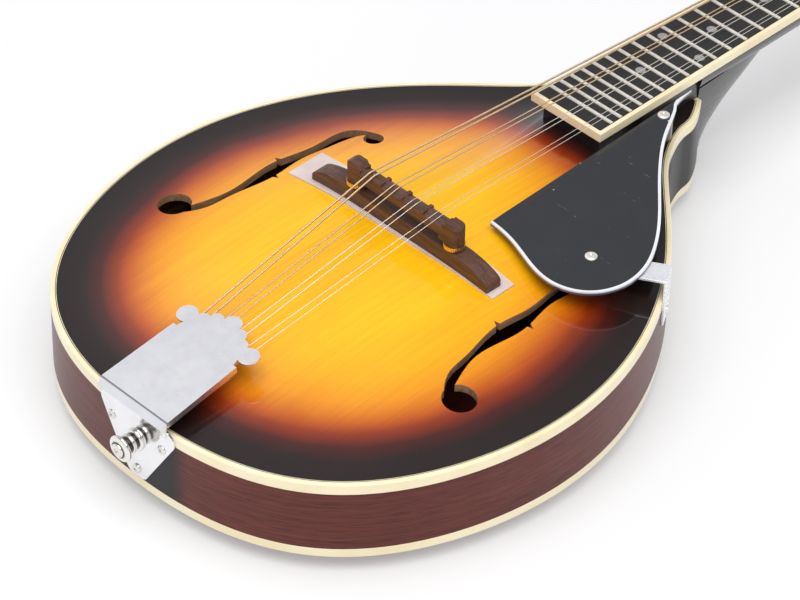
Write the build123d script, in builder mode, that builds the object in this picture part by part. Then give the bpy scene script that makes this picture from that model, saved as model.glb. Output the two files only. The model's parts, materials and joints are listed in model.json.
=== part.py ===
"""A-style mandolin with a carved body, adjustable bridge and worm-geared tuners.

Frame: X runs to the treble side, Y to the headstock and Z up, with the back lying down.
The origin is on the flat crown of the back, under the end of the nominal scale length.
"""
from build123d import *
import math
import os

os.makedirs("parts", exist_ok=True)

# ---------------------------------------------------------------- driving dimensions
scale_length = 350.0
fret_count = 20

# Body outline: half of the plate's edge, from the tail to the neck joint
tail_y = -166.2
neck_joint_y = 171.3
neck_joint_half = 19.4
lower_bout = (94.2, -132.4)
widest_bout = (128.6, -42.7)
waist = (124.6, 2.0)
shoulder = (83.6, 79.6)
cusp = (49.0, 115.6)
throat = (33.6, 136.1)
collar = (27.2, 154.6)
neck_tangent = (-0.7, 1)
outline_steps = 20
arch_centre_y = -20.0

# Plates and rim
rim_depth = 42.5
back_arch = 8.0
top_arch = 9.8
crown_flat = 0.15
arch_power = 1.2
plate_edge = 3.5
plate_crown = 4.3
hollow_scale = 0.93
rim_thickness = 2.6
binding_width = 2.2
top_binding_height = 5.3
back_binding_height = 5.0
purfling_width = 0.9
purfling_depth = 1.2
lining_width = 5.6
lining_height = 10.0

rim_top = back_arch + rim_depth
rim_wall_bottom = back_arch + back_binding_height
rim_wall_top = rim_top - top_binding_height
cavity_floor = back_arch + plate_edge
cavity_roof = rim_top - plate_edge

# Neck and fingerboard
neck_angle = 2.19
board_height = 23.6
board_thickness = 4.8
board_end = 99.8
board_end_half = 22.2
nut_half = 15.3
board_binding = 2.4
nut_length = 5.0
nut_rise = 1.8
fret_width = 2.0
fret_height = 1.0
tang_width = 0.5
tang_depth = 1.6
dot_radius = 2.5
dot_depth = 1.0
double_dot_x = 11.8
heel_start = neck_joint_y + binding_width
heel_bottom = 8.0

# Headstock and tuners
head_angle = 13.0
head_thickness = 13.5
overlay_thickness = 1.5
head_drop = 3.0
tuner_start = 27.0
tuner_pitch = 23.0
tuners_per_side = 4
post_x = 17.0
post_radius = 3.0
post_top = 13.0
winding_height = 6.5
winding_length = 3.0
winding_radius = 3.55
bushing_radius = 4.1
tuner_plate_thickness = 1.0
running_gap = 0.06

# Worm and gear
gear_teeth = 15
gear_module = 0.55
gear_thickness = 2.0
gear_lift = 2.4
tooth_width = 0.62
worm_radius = 2.5
worm_shaft_radius = 1.6
worm_turns = 3
mesh_slack = 0.1

# Bridge
bridge_y = -5.5
stud_x = 31.0
stud_radius = 2.0
base_half = 56.0
base_depth = 9.0
base_top = 18.5
film_thickness = 0.8
saddle_half = 35.5
saddle_depth = 7.0
saddle_foot = 21.3
saddle_arch = 24.3
saddle_end_top = 32.0
string_seat = 30.3
wheel_radius = 5.0
wheel_thickness = 2.2

# Strings
nut_course = 7.4
nut_pair = 1.9
bridge_course = 13.4
bridge_pair = 2.9
hook_pitch = 4.3
string_radii = [0.51, 0.33, 0.19, 0.14]

# Tailpiece
cover_slope = 8.14
cover_rear_y = -169.7
cover_rear_height = 9.1
cover_rear_half = 21.2
cover_front_half = 20.2
cover_length = 41.7
cover_thickness = 0.8
tail_plate_y = tail_y - binding_width

# Pickguard
guard_height = 11.6
guard_thickness = 2.0
guard_edging = 1.4
strap_width = 12.4
strap_thickness = 1.2


# ---------------------------------------------------------------- frames and helpers
def board_half(s):
    """Half width of the bound fingerboard at distance s along the neck."""
    return nut_half + (board_end_half - nut_half) * (scale_length - s) / (scale_length - board_end)


def fret_place(number):
    return scale_length * 2 ** (-number / 12)


def tilted_plane(origin, degrees):
    """A plane whose Y axis points to the headstock and dips by the given angle."""
    tilt = math.radians(degrees)
    return Plane(origin=origin, x_dir=(1, 0, 0), z_dir=(0, math.sin(tilt), math.cos(tilt)))


def cross_plane(frame, s):
    """A plane square to X in the frame, with its X axis along the neck."""
    return Plane(origin=frame.from_local_coords((0, s, 0)), x_dir=frame.y_dir, z_dir=(1, 0, 0))


def section_plane(frame, s):
    """A plane square to the neck, with X across and Y up."""
    return Plane(origin=frame.from_local_coords((0, s, 0)), x_dir=(1, 0, 0), z_dir=-frame.y_dir)


with BuildLine() as half_edge:
    Spline(
        (0, tail_y), lower_bout, widest_bout, waist, shoulder, cusp, throat, collar,
        (neck_joint_half, neck_joint_y),
        tangents=[(1, 0), neck_tangent],
    )


def plate_shape(scale=1.0, grow=0.0):
    """The plate outline, scaled about the centre of the arching, then grown by a width."""
    points = []
    for step in range(outline_steps + 1):
        place = half_edge.edge().position_at(step / outline_steps)
        tangent = half_edge.edge().tangent_at(step / outline_steps)
        x = place.X * scale + tangent.Y * grow
        y = arch_centre_y + (place.Y - arch_centre_y) * scale - tangent.X * grow
        points.append((x, y))
    corner_y = arch_centre_y + (neck_joint_y - arch_centre_y) * scale + grow
    corner_x = points[-1][0] + neck_tangent[0] * (corner_y - points[-1][1])
    points[-1] = (corner_x, corner_y)
    with BuildSketch() as shape:
        with BuildLine():
            Spline(*points, tangents=[(1, 0), neck_tangent])
            mirror(about=Plane.YZ)
            Line(points[-1], (-points[-1][0], points[-1][1]))
        make_face()
    return shape.sketch


def arching(base_height, rise, edge_scale=1.0):
    """A carved arch, lofted through its contour lines and ending in a flat crown."""
    with BuildPart() as arch:
        for step in [1.0, 0.9, 0.8, 0.7, 0.6, 0.5, 0.4, 0.3, 0.2, 0.1, 0.0]:
            share = math.cos(math.pi / 2 * step**arch_power) ** 2
            with BuildSketch(Plane.XY.offset(base_height + rise * share)):
                add(plate_shape(edge_scale * (crown_flat + (1 - crown_flat) * step)))
        loft()
    return arch.part


def ring(outer, inner, bottom, top):
    """The band between two outlines, from one height to another."""
    with BuildPart() as band:
        with BuildSketch(Plane.XY.offset(bottom)):
            add(outer)
            add(inner, mode=Mode.SUBTRACT)
        extrude(amount=top - bottom)
    return band.part


neck_frame = tilted_plane((0, 0, rim_top + board_height), neck_angle)
head_origin = neck_frame.from_local_coords((0, scale_length + nut_length, -head_drop))
head_frame = tilted_plane(head_origin, neck_angle + head_angle)
cover_frame = tilted_plane((0, cover_rear_y, rim_top + cover_rear_height), -cover_slope)
plate_back = -(overlay_thickness + head_thickness)
gear_top = plate_back - tuner_plate_thickness - gear_lift
gear_middle = gear_top - gear_thickness / 2
gear_pitch_radius = gear_teeth * gear_module / 2
worm_distance = gear_pitch_radius + worm_radius + mesh_slack
worm_pitch = math.pi * gear_module
tuner_places = [tuner_start + tuner_pitch * i for i in range(tuners_per_side)]

plate_outline = plate_shape()
body_outline = plate_shape(grow=binding_width)
purfling_inside = plate_shape(grow=-purfling_width)
rim_inside = plate_shape(grow=binding_width - rim_thickness)
lining_inside = plate_shape(grow=binding_width - rim_thickness - lining_width)

# ---------------------------------------------------------------- arched envelopes
with BuildPart() as top_envelope:
    with BuildSketch(Plane.XY.offset(cavity_roof)):
        add(plate_outline)
    extrude(amount=plate_edge)
    add(arching(rim_top, top_arch))

with BuildPart() as top_hollow:
    add(arching(cavity_roof, top_arch - plate_crown + plate_edge, hollow_scale))

with BuildPart() as back_envelope:
    with BuildSketch(Plane.XY.offset(back_arch)):
        add(plate_outline)
    extrude(amount=plate_edge)
    add(arching(back_arch, -back_arch))

with BuildPart() as back_hollow:
    add(arching(cavity_floor, -(back_arch - plate_crown + plate_edge), hollow_scale))

with BuildPart() as cavity:
    with BuildSketch(Plane.XY.offset(cavity_floor)):
        add(rim_inside)
    extrude(amount=cavity_roof - cavity_floor)
    add(top_hollow.part)
    add(back_hollow.part)

with BuildPart() as body_block:
    with BuildSketch(Plane.XY.offset(back_arch)):
        add(body_outline)
    extrude(amount=rim_depth)


# ---------------------------------------------------------------- sound holes
f_stem_outer = [(84.5, -58.5), (79.0, -40.0), (80.8, -12.0), (76.8, 12.0), (63.5, 39.6)]
f_stem_inner = [(62.0, 38.0), (70.8, 18.0), (73.0, -2.0), (71.8, -19.0), (76.0, -44.0), (86.0, -67.0)]

# Each f-shaped hole is a waisted stem with an eye at both ends and a nick in both sides
with BuildSketch(Plane.XY.offset(cavity_roof - 2)) as f_holes:
    with BuildLine():
        Spline(*f_stem_outer, tangents=[(-0.4, 1), (-1, 0.25)])
        Line(f_stem_outer[-1], f_stem_inner[0])
        Spline(*f_stem_inner, tangents=[(0.9, -0.3), (1, -0.9)])
        Line(f_stem_inner[-1], f_stem_outer[0])
    make_face()
    with Locations((91.5, -63.0)):
        Circle(8.0)
    with Locations((61.5, 35.2)):
        Circle(4.8)
    Polygon((78, -10), (83.2, -8), (78, -5.5), align=None)
    Polygon((75, -21.5), (69.0, -18.6), (75, -16.5), align=None)
    mirror(about=Plane.YZ)

# ---------------------------------------------------------------- top plate
with BuildPart() as top_plate:
    add(top_envelope.part)
    add(top_hollow.part, mode=Mode.SUBTRACT)
    add(f_holes.sketch)
    extrude(amount=top_arch + 8, mode=Mode.SUBTRACT)
    with BuildSketch(Plane.XY.offset(rim_top - purfling_depth)):
        add(plate_outline)
        add(purfling_inside, mode=Mode.SUBTRACT)
    extrude(amount=purfling_depth + 1, mode=Mode.SUBTRACT)
top_plate.part.label = "top_plate"
export_step(top_plate.part, "parts/top_plate.step")

# ---------------------------------------------------------------- back plate
with BuildPart() as back_plate:
    add(back_envelope.part)
    add(back_hollow.part, mode=Mode.SUBTRACT)
back_plate.part.label = "back_plate"
export_step(back_plate.part, "parts/back_plate.step")

# ---------------------------------------------------------------- bindings and purfling
with BuildPart() as top_binding:
    add(ring(body_outline, plate_outline, rim_wall_top, rim_top))
top_binding.part.label = "top_binding"
export_step(top_binding.part, "parts/top_binding.step")

with BuildPart() as back_binding:
    add(ring(body_outline, plate_outline, back_arch, rim_wall_bottom))
back_binding.part.label = "back_binding"
export_step(back_binding.part, "parts/back_binding.step")

with BuildPart() as top_purfling:
    add(ring(plate_outline, purfling_inside, rim_top - purfling_depth, rim_top))
top_purfling.part.label = "top_purfling"
export_step(top_purfling.part, "parts/top_purfling.step")

# ---------------------------------------------------------------- tail fasteners
tail_screw_places = [(-16.0, -10.6), (16.0, -10.6), (0.0, -31.7)]
button_height = rim_top - 14.5
button_length = 10.4


def tail_screw(x, height, radius, head_radius, head_height, length, seat_y):
    """A pan-headed wood screw driven into the tail along +Y."""
    with BuildPart() as screw:
        with BuildSketch(Plane(origin=(x, seat_y, height), x_dir=(1, 0, 0), z_dir=(0, 1, 0))):
            Circle(radius)
        extrude(amount=length)
        with BuildSketch(Plane(origin=(x, seat_y, height), x_dir=(1, 0, 0), z_dir=(0, -1, 0))):
            Circle(head_radius)
        extrude(amount=head_height, taper=12)
    return screw.part


with BuildPart() as tailpiece_screws:
    for screw_x, screw_z in tail_screw_places:
        seat = tail_plate_y - 1.0 + 0.0034 * screw_x**2
        add(tail_screw(screw_x, rim_top + screw_z, 1.3, 2.4, 1.3, 11.0, seat))
tailpiece_screws.part.label = "tailpiece_screws"
export_step(tailpiece_screws.part, "parts/tailpiece_screws.step")

with BuildPart() as strap_button_screw:
    add(tail_screw(0, button_height, 1.9, 3.4, 1.4, 34.0, tail_plate_y - 1.0 - button_length))
strap_button_screw.part.label = "strap_button_screw"
export_step(strap_button_screw.part, "parts/strap_button_screw.step")

# The button is turned: a foot, a narrow waist and a broad dished flange
with BuildPart() as strap_button:
    button_foot = (0, tail_plate_y - 1.0, button_height)
    with BuildSketch(Plane(origin=button_foot, x_dir=(0, -1, 0), z_dir=(1, 0, 0))):
        with BuildLine():
            Polyline((0, 1.9), (0, 4.4), (1.4, 4.4))
            Spline((1.4, 4.4), (4.4, 3.1), (7.2, 4.2), (8.2, 6.5), tangents=[(1, -0.9), (0.35, 1)])
            ThreePointArc((8.2, 6.5), (9.6, 6.2), (button_length, 4.6))
            Polyline((button_length, 4.6), (button_length, 1.9), (0, 1.9))
        make_face()
    revolve(axis=Axis((0, tail_plate_y, button_height), (0, 1, 0)))
strap_button.part.label = "strap_button"
export_step(strap_button.part, "parts/strap_button.step")

# ---------------------------------------------------------------- pickguard strap frame
strap_origin = (74.0, 38.4)
strap_direction = (0.858, 0.514)
strap_reach = 34.65
strap_foot = 14.0
strap_screw_drop = 9.4
strap_frame = Plane(
    origin=(strap_origin[0], strap_origin[1], rim_top + guard_height - strap_thickness),
    x_dir=(strap_direction[0], strap_direction[1], 0),
    z_dir=(0, 0, 1),
)
neck_end_screw = (27.3, 138.0)

with BuildPart() as pickguard_screws:
    for place in (strap_origin, neck_end_screw):
        with BuildSketch(Plane.XY.offset(rim_top + guard_height - 4.5)):
            with Locations(place):
                Circle(1.2)
        extrude(amount=4.5 + guard_thickness)
        with BuildSketch(Plane.XY.offset(rim_top + guard_height + guard_thickness)):
            with Locations(place):
                Circle(2.9)
        extrude(amount=0.9, taper=20)
    side_seat = strap_frame.from_local_coords((strap_reach + strap_thickness, 0, 0))
    side_screw_frame = Plane(
        origin=(side_seat.X, side_seat.Y, rim_top - strap_screw_drop),
        x_dir=(0, 0, 1),
        z_dir=(-strap_direction[0], -strap_direction[1], 0),
    )
    with BuildSketch(side_screw_frame):
        Circle(1.0)
    extrude(amount=8)
    with BuildSketch(side_screw_frame):
        Circle(1.9)
    extrude(amount=-1.1, taper=15)
pickguard_screws.part.label = "pickguard_screws"
export_step(pickguard_screws.part, "parts/pickguard_screws.step")


# ---------------------------------------------------------------- rim
def rim_half(keep):
    """One bent side, from the centre of the tail to the neck tenon."""
    with BuildPart() as side:
        add(ring(body_outline, rim_inside, rim_wall_bottom, rim_wall_top))
        split(bisect_by=Plane.YZ, keep=keep)
        with BuildSketch(Plane.XY.offset(rim_wall_bottom)):
            with Locations((0, neck_joint_y)):
                Rectangle(tenon_width, 12)
        extrude(amount=rim_wall_top - rim_wall_bottom, mode=Mode.SUBTRACT)
        add(tailpiece_screws.part, mode=Mode.SUBTRACT)
        add(strap_button_screw.part, mode=Mode.SUBTRACT)
        add(pickguard_screws.part, mode=Mode.SUBTRACT)
    return side.part


tenon_width = 18.0
tenon_back = 144.0

with BuildPart() as rim_bass:
    add(rim_half(Keep.BOTTOM))
rim_bass.part.label = "rim_bass"
export_step(rim_bass.part, "parts/rim_bass.step")

with BuildPart() as rim_treble:
    add(rim_half(Keep.TOP))
rim_treble.part.label = "rim_treble"
export_step(rim_treble.part, "parts/rim_treble.step")

# ---------------------------------------------------------------- inner blocks and braces
block_width = 60.0
neck_block_back = 134.0
tail_block_front = -146.0


def inner_block(y_low, y_high, width):
    """Fill the cavity between two Y values, shaped to both plates and the rim."""
    with BuildPart() as block:
        with BuildSketch(Plane.XY):
            with Locations((0, (y_low + y_high) / 2)):
                Rectangle(width, y_high - y_low)
        extrude(amount=rim_top + top_arch)
        add(cavity.part, mode=Mode.INTERSECT)
    return block.part


with BuildPart() as linings:
    add(ring(rim_inside, lining_inside, cavity_roof - lining_height, cavity_roof))
    add(ring(rim_inside, lining_inside, cavity_floor, cavity_floor + lining_height))
    with BuildSketch(Plane.XY):
        with Locations((0, neck_joint_y)):
            Rectangle(block_width, 2 * (neck_joint_y - neck_block_back))
        with Locations((0, tail_y)):
            Rectangle(block_width, 2 * (tail_block_front - tail_y))
    extrude(amount=rim_top, mode=Mode.SUBTRACT)
    add(pickguard_screws.part, mode=Mode.SUBTRACT)
linings.part.label = "linings"
export_step(linings.part, "parts/linings.step")

with BuildPart() as neck_block:
    add(inner_block(neck_block_back, neck_joint_y, block_width))
    with BuildSketch(Plane.XY.offset(rim_wall_bottom)):
        with Locations((0, (tenon_back + neck_joint_y) / 2 + 2)):
            Rectangle(tenon_width, neck_joint_y - tenon_back + 4)
    extrude(amount=cavity_roof - rim_wall_bottom + 5, mode=Mode.SUBTRACT)
neck_block.part.label = "neck_block"
export_step(neck_block.part, "parts/neck_block.step")

with BuildPart() as tail_block:
    add(inner_block(tail_y, tail_block_front, block_width))
    add(tailpiece_screws.part, mode=Mode.SUBTRACT)
    add(strap_button_screw.part, mode=Mode.SUBTRACT)
tail_block.part.label = "tail_block"
export_step(tail_block.part, "parts/tail_block.step")

with BuildPart() as tone_bars:
    with BuildSketch(Plane.XY.offset(cavity_roof - 6)):
        with Locations((-30, -15), (34, -15)):
            Rectangle(6, 190)
    extrude(amount=6 + top_arch)
    add(cavity.part, mode=Mode.INTERSECT)
tone_bars.part.label = "tone_bars"
export_step(tone_bars.part, "parts/tone_bars.step")


# ---------------------------------------------------------------- neck
# The headstock flares from the nut and ends in a gently arched crest
with BuildSketch() as headstock_shape:
    with BuildLine():
        Spline((nut_half, 0), (18.0, 9.0), (27.0, 22.0), tangents=[(0, 1), (0.3, 1)])
        Line((27.0, 22.0), (30.0, 118.0))
        Spline((30.0, 118.0), (24.0, 132.0), (0, 145.0), tangents=[(0, 1), (-1, 0)])
        mirror(about=Plane.YZ)
        Line((-nut_half, 0), (nut_half, 0))
    make_face()


rod_height = -board_thickness - 7.7
rod_radius = 2.5
rod_start = 182.0
rod_end = 369.0
rod_nut_start = 364.0
rod_nut_length = 9.0
rod_nut_radius = 3.9
pocket_half = 5.5
pocket_end = 24.0

# The nut stands on a shelf cut level with the fingerboard's underside
with BuildPart() as nut_shelf:
    with BuildSketch(neck_frame.offset(-board_thickness)):
        with Locations((0, scale_length + nut_length / 2)):
            Rectangle(2 * nut_half + 6, nut_length)
    extrude(amount=board_thickness + nut_rise)

cover_screw_places = [(0, 29.5), (-7.6, 5.0), (7.6, 5.0)]
plate_screw_places = [15.5, 38.0, 61.0, 84.0, 107.0]

with BuildPart() as headstock_screws:
    with BuildSketch(head_frame.offset(-4)):
        with Locations(*cover_screw_places):
            Circle(0.9)
    extrude(amount=6.0)
    with BuildSketch(head_frame.offset(2.0)):
        with Locations(*cover_screw_places):
            Circle(1.8)
    extrude(amount=0.8, taper=20)
    plate_screws = [(side * (post_x - 6.5), t) for side in (-1, 1) for t in plate_screw_places]
    with BuildSketch(head_frame.offset(plate_back + 6)):
        with Locations(*plate_screws):
            Circle(1.0)
    extrude(amount=-6.0 - tuner_plate_thickness)
    with BuildSketch(head_frame.offset(plate_back - tuner_plate_thickness)):
        with Locations(*plate_screws):
            Circle(1.9)
    extrude(amount=-0.9, taper=20)
headstock_screws.part.label = "headstock_screws"
export_step(headstock_screws.part, "parts/headstock_screws.step")

with BuildPart() as neck:
    for s, depth in ((heel_start, 15.5), (260, 14.6), (scale_length + 3.0, 14.0)):
        with BuildSketch(section_plane(neck_frame, s)):
            half = board_half(s)
            with BuildLine():
                EllipticalCenterArc((0, -board_thickness), half, depth, start_angle=180, arc_size=180)
                Line((-half, -board_thickness), (half, -board_thickness))
            make_face()
    loft()
    for z, half, length in (
        (56.0, 18.8, 80.0),
        (44.0, 17.4, 63.0),
        (36.0, 16.0, 49.5),
        (28.0, 14.6, 37.5),
        (18.0, 13.2, 27.0),
        (heel_bottom + 2, 12.5, 22.0),
    ):
        with BuildSketch(Plane.XY.offset(z)):
            with BuildLine():
                EllipticalCenterArc((0, heel_start), half, length, start_angle=0, arc_size=180)
                Line((-half, heel_start), (half, heel_start))
            make_face()
    loft()
    with BuildSketch(neck_frame.offset(-board_thickness)):
        Polygon(
            (-17.8, board_end + 5), (17.8, board_end + 5),
            (17.8, heel_start + 1), (-17.8, heel_start + 1),
            align=None,
        )
    extrude(amount=-20)
    with BuildSketch(head_frame.offset(plate_back)):
        add(headstock_shape.sketch)
    extrude(amount=head_thickness)
    add(body_block.part, mode=Mode.SUBTRACT)
    add(top_envelope.part, mode=Mode.SUBTRACT)
    with BuildSketch(Plane.XY.offset(rim_wall_bottom)):
        with Locations((0, (tenon_back + heel_start + 1) / 2)):
            Rectangle(tenon_width, heel_start + 1 - tenon_back)
    extrude(amount=rim_wall_top - rim_wall_bottom)
    with BuildSketch(neck_frame.offset(-board_thickness)):
        with Locations((0, (rod_start + rod_end) / 2)):
            Rectangle(2 * rod_radius, rod_end - rod_start)
    extrude(amount=rod_height + board_thickness, mode=Mode.SUBTRACT)
    with BuildSketch(section_plane(neck_frame, rod_start)):
        with Locations((0, rod_height)):
            Circle(rod_radius)
    extrude(amount=-(rod_end - rod_start), mode=Mode.SUBTRACT)
    with BuildSketch(head_frame.offset(plate_back + 2)):
        with Locations((0, (1.5 + pocket_end) / 2)):
            Rectangle(2 * pocket_half, pocket_end - 1.5)
    extrude(amount=head_thickness + 10, mode=Mode.SUBTRACT)
    with BuildSketch(head_frame.offset(plate_back)):
        with Locations(*[(side * post_x, t) for side in (-1, 1) for t in tuner_places]):
            Circle(bushing_radius)
    extrude(amount=head_thickness, mode=Mode.SUBTRACT)
    add(nut_shelf.part, mode=Mode.SUBTRACT)
    add(headstock_screws.part, mode=Mode.SUBTRACT)
neck.part.label = "neck"
export_step(neck.part, "parts/neck.step")

with BuildPart() as heel_cap:
    with BuildSketch(Plane.XY.offset(heel_bottom)):
        with BuildLine():
            EllipticalCenterArc((0, heel_start), 12.5, 22.0, start_angle=0, arc_size=180)
            Line((-12.5, heel_start), (12.5, heel_start))
        make_face()
    extrude(amount=2)
heel_cap.part.label = "heel_cap"
export_step(heel_cap.part, "parts/heel_cap.step")

# ---------------------------------------------------------------- truss rod
with BuildPart() as truss_rod:
    with BuildSketch(section_plane(neck_frame, rod_start)):
        with Locations((0, rod_height)):
            Circle(rod_radius)
    extrude(amount=-(rod_end - rod_start))
truss_rod.part.label = "truss_rod"
export_step(truss_rod.part, "parts/truss_rod.step")

with BuildPart() as truss_rod_nut:
    with BuildSketch(section_plane(neck_frame, rod_nut_start)):
        with Locations((0, rod_height)):
            RegularPolygon(rod_nut_radius, 6)
            Circle(rod_radius + running_gap, mode=Mode.SUBTRACT)
    extrude(amount=-rod_nut_length)
truss_rod_nut.part.label = "truss_rod_nut"
export_step(truss_rod_nut.part, "parts/truss_rod_nut.step")

# ---------------------------------------------------------------- frets, fingerboard and nut
with BuildPart() as frets:
    for number in range(1, fret_count + 1):
        place = fret_place(number)
        with BuildSketch(cross_plane(neck_frame, place)):
            with BuildLine():
                ThreePointArc((-fret_width / 2, 0), (0, fret_height), (fret_width / 2, 0))
                Line((-fret_width / 2, 0), (fret_width / 2, 0))
            make_face()
            Rectangle(tang_width, tang_depth, align=(Align.CENTER, Align.MAX))
        extrude(amount=board_half(place) - board_binding, both=True)
frets.part.label = "frets"
export_step(frets.part, "parts/frets.step")

with BuildPart() as fret_markers:
    with BuildSketch(neck_frame.offset(-dot_depth)):
        for number in (3, 5, 7, 10, 12, 15):
            middle = (fret_place(number) + fret_place(number - 1)) / 2
            columns = (-double_dot_x, double_dot_x) if number == 12 else (0,)
            with Locations(*[(x, middle) for x in columns]):
                Circle(dot_radius)
    extrude(amount=dot_depth)
fret_markers.part.label = "fret_markers"
export_step(fret_markers.part, "parts/fret_markers.step")


def board_shape(inset):
    """The tapered fingerboard's outline, inset from its sides and its body end."""
    start = board_end + inset
    low = board_half(board_end) - inset
    high = board_half(scale_length) - inset
    with BuildSketch() as shape:
        Polygon((-low, start), (low, start), (high, scale_length), (-high, scale_length), align=None)
    return shape.sketch


with BuildPart() as fingerboard:
    with BuildSketch(neck_frame.offset(-board_thickness)):
        add(board_shape(board_binding))
    extrude(amount=board_thickness)
    add(frets.part, mode=Mode.SUBTRACT)
    add(fret_markers.part, mode=Mode.SUBTRACT)
fingerboard.part.label = "fingerboard"
export_step(fingerboard.part, "parts/fingerboard.step")

with BuildPart() as fingerboard_binding:
    with BuildSketch(neck_frame.offset(-board_thickness)):
        add(board_shape(0))
        add(board_shape(board_binding), mode=Mode.SUBTRACT)
    extrude(amount=board_thickness)
fingerboard_binding.part.label = "fingerboard_binding"
export_step(fingerboard_binding.part, "parts/fingerboard_binding.step")


def course_x(course, string, spacing, pair):
    """X of a string: courses 0 to 3 from bass to treble, strings 0 and 1 in each."""
    return (course - 1.5) * spacing + (string - 0.5) * pair


with BuildPart() as nut:
    with BuildSketch(cross_plane(neck_frame, scale_length)):
        with BuildLine():
            Polyline((0, -board_thickness), (0, nut_rise - 0.4))
            ThreePointArc((0, nut_rise - 0.4), (1.6, nut_rise), (nut_length, nut_rise - 1.6))
            Polyline((nut_length, nut_rise - 1.6), (nut_length, -board_thickness), (0, -board_thickness))
        make_face()
    extrude(amount=nut_half, both=True)
    for course in range(4):
        for string in range(2):
            radius = string_radii[course]
            slot_x = course_x(course, string, nut_course, nut_pair)
            with BuildSketch(section_plane(neck_frame, scale_length - 1)):
                with Locations((slot_x, nut_rise - 0.6 + radius)):
                    Circle(radius + 0.03)
                with Locations((slot_x, nut_rise + radius)):
                    Rectangle(2 * radius + 0.06, 1.2)
            extrude(amount=-(nut_length + 2), mode=Mode.SUBTRACT)
nut.part.label = "nut"
export_step(nut.part, "parts/nut.step")

# ---------------------------------------------------------------- headstock fittings
with BuildPart() as headstock_overlay:
    with BuildSketch(head_frame.offset(-overlay_thickness)):
        add(headstock_shape.sketch)
        with Locations((0, (1.5 + pocket_end) / 2)):
            Rectangle(2 * pocket_half, pocket_end - 1.5, mode=Mode.SUBTRACT)
        with Locations(*[(side * post_x, t) for side in (-1, 1) for t in tuner_places]):
            Circle(bushing_radius, mode=Mode.SUBTRACT)
    extrude(amount=overlay_thickness)
    add(nut_shelf.part, mode=Mode.SUBTRACT)
    add(headstock_screws.part, mode=Mode.SUBTRACT)
headstock_overlay.part.label = "headstock_overlay"
export_step(headstock_overlay.part, "parts/headstock_overlay.step")

plate_low = 12.0
plate_high = 110.5
plate_half = 10.0

with BuildPart() as truss_rod_cover:
    with BuildSketch(head_frame):
        with BuildLine():
            Polyline((-10.0, 2.0), (10.0, 2.0))
            Spline((10.0, 2.0), (9.4, 12.0), (5.0, 24.0), (0, 34.0), tangents=[(0, 1), (-0.8, 0.5)])
            mirror(about=Plane.YZ)
        make_face()
    extrude(amount=2.0)
    add(headstock_screws.part, mode=Mode.SUBTRACT)
truss_rod_cover.part.label = "truss_rod_cover"
export_step(truss_rod_cover.part, "parts/truss_rod_cover.step")

with BuildPart() as tuner_bushings:
    with BuildSketch(head_frame.offset(-7.0)):
        with Locations(*[(side * post_x, t) for side in (-1, 1) for t in tuner_places]):
            Circle(bushing_radius)
            Circle(post_radius + running_gap, mode=Mode.SUBTRACT)
    extrude(amount=7.0)
    with BuildSketch(head_frame):
        with Locations(*[(side * post_x, t) for side in (-1, 1) for t in tuner_places]):
            Circle(bushing_radius + 1.0)
            Circle(post_radius + running_gap, mode=Mode.SUBTRACT)
    extrude(amount=1.2)
tuner_bushings.part.label = "tuner_bushings"
export_step(tuner_bushings.part, "parts/tuner_bushings.step")

# ---------------------------------------------------------------- tuning machines
ear_offset = 4.6
ear_thickness = 1.2


def tuner_plate(side):
    """The base plate of four machines, with two ears for each worm shaft."""
    with BuildPart() as plate:
        with BuildSketch(head_frame.offset(plate_back)):
            with Locations((side * post_x, (plate_low + plate_high) / 2)):
                RectangleRounded(2 * plate_half, plate_high - plate_low, 3.0)
            with Locations(*[(side * post_x, t) for t in tuner_places]):
                Circle(post_radius + running_gap, mode=Mode.SUBTRACT)
        extrude(amount=-tuner_plate_thickness)
        for t in tuner_places:
            for ear in (-1, 1):
                ear_x = side * post_x + ear * ear_offset - ear_thickness / 2
                ear_plane = Plane(
                    origin=head_frame.from_local_coords((ear_x, t + worm_distance, gear_middle)),
                    x_dir=head_frame.y_dir,
                    z_dir=(1, 0, 0),
                )
                with BuildSketch(ear_plane):
                    Circle(worm_shaft_radius + 1.1)
                    height = plate_back - tuner_plate_thickness - gear_middle
                    Rectangle(2 * worm_shaft_radius + 2.2, height, align=(Align.CENTER, Align.MIN))
                    Circle(worm_shaft_radius + running_gap, mode=Mode.SUBTRACT)
                extrude(amount=ear_thickness)
        add(headstock_screws.part, mode=Mode.SUBTRACT)
    return plate.part


with BuildPart() as tuner_plate_bass:
    add(tuner_plate(-1))
tuner_plate_bass.part.label = "tuner_plate_bass"
export_step(tuner_plate_bass.part, "parts/tuner_plate_bass.step")

with BuildPart() as tuner_plate_treble:
    add(tuner_plate(1))
tuner_plate_treble.part.label = "tuner_plate_treble"
export_step(tuner_plate_treble.part, "parts/tuner_plate_treble.step")

# The post machine: post, gear, retaining screw and string winding, on the post's own axis
gear_root = gear_pitch_radius - 0.65
gear_tip = gear_pitch_radius + 0.5
gear_stub_radius = 1.5
tooth_slope = math.tan(math.radians(20))

with BuildPart() as gear_blank:
    with BuildSketch(Plane.XY.offset(gear_top - gear_thickness)):
        Circle(gear_root)
        with PolarLocations(0, gear_teeth, start_angle=90):
            foot = tooth_width / 2 + 0.65 * tooth_slope
            tip = tooth_width / 2 - 0.5 * tooth_slope
            Polygon(
                (gear_root - 0.2, -foot), (gear_tip, -tip), (gear_tip, tip), (gear_root - 0.2, foot),
                align=None,
            )
        Circle(gear_stub_radius, mode=Mode.SUBTRACT)
    extrude(amount=gear_thickness)

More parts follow.
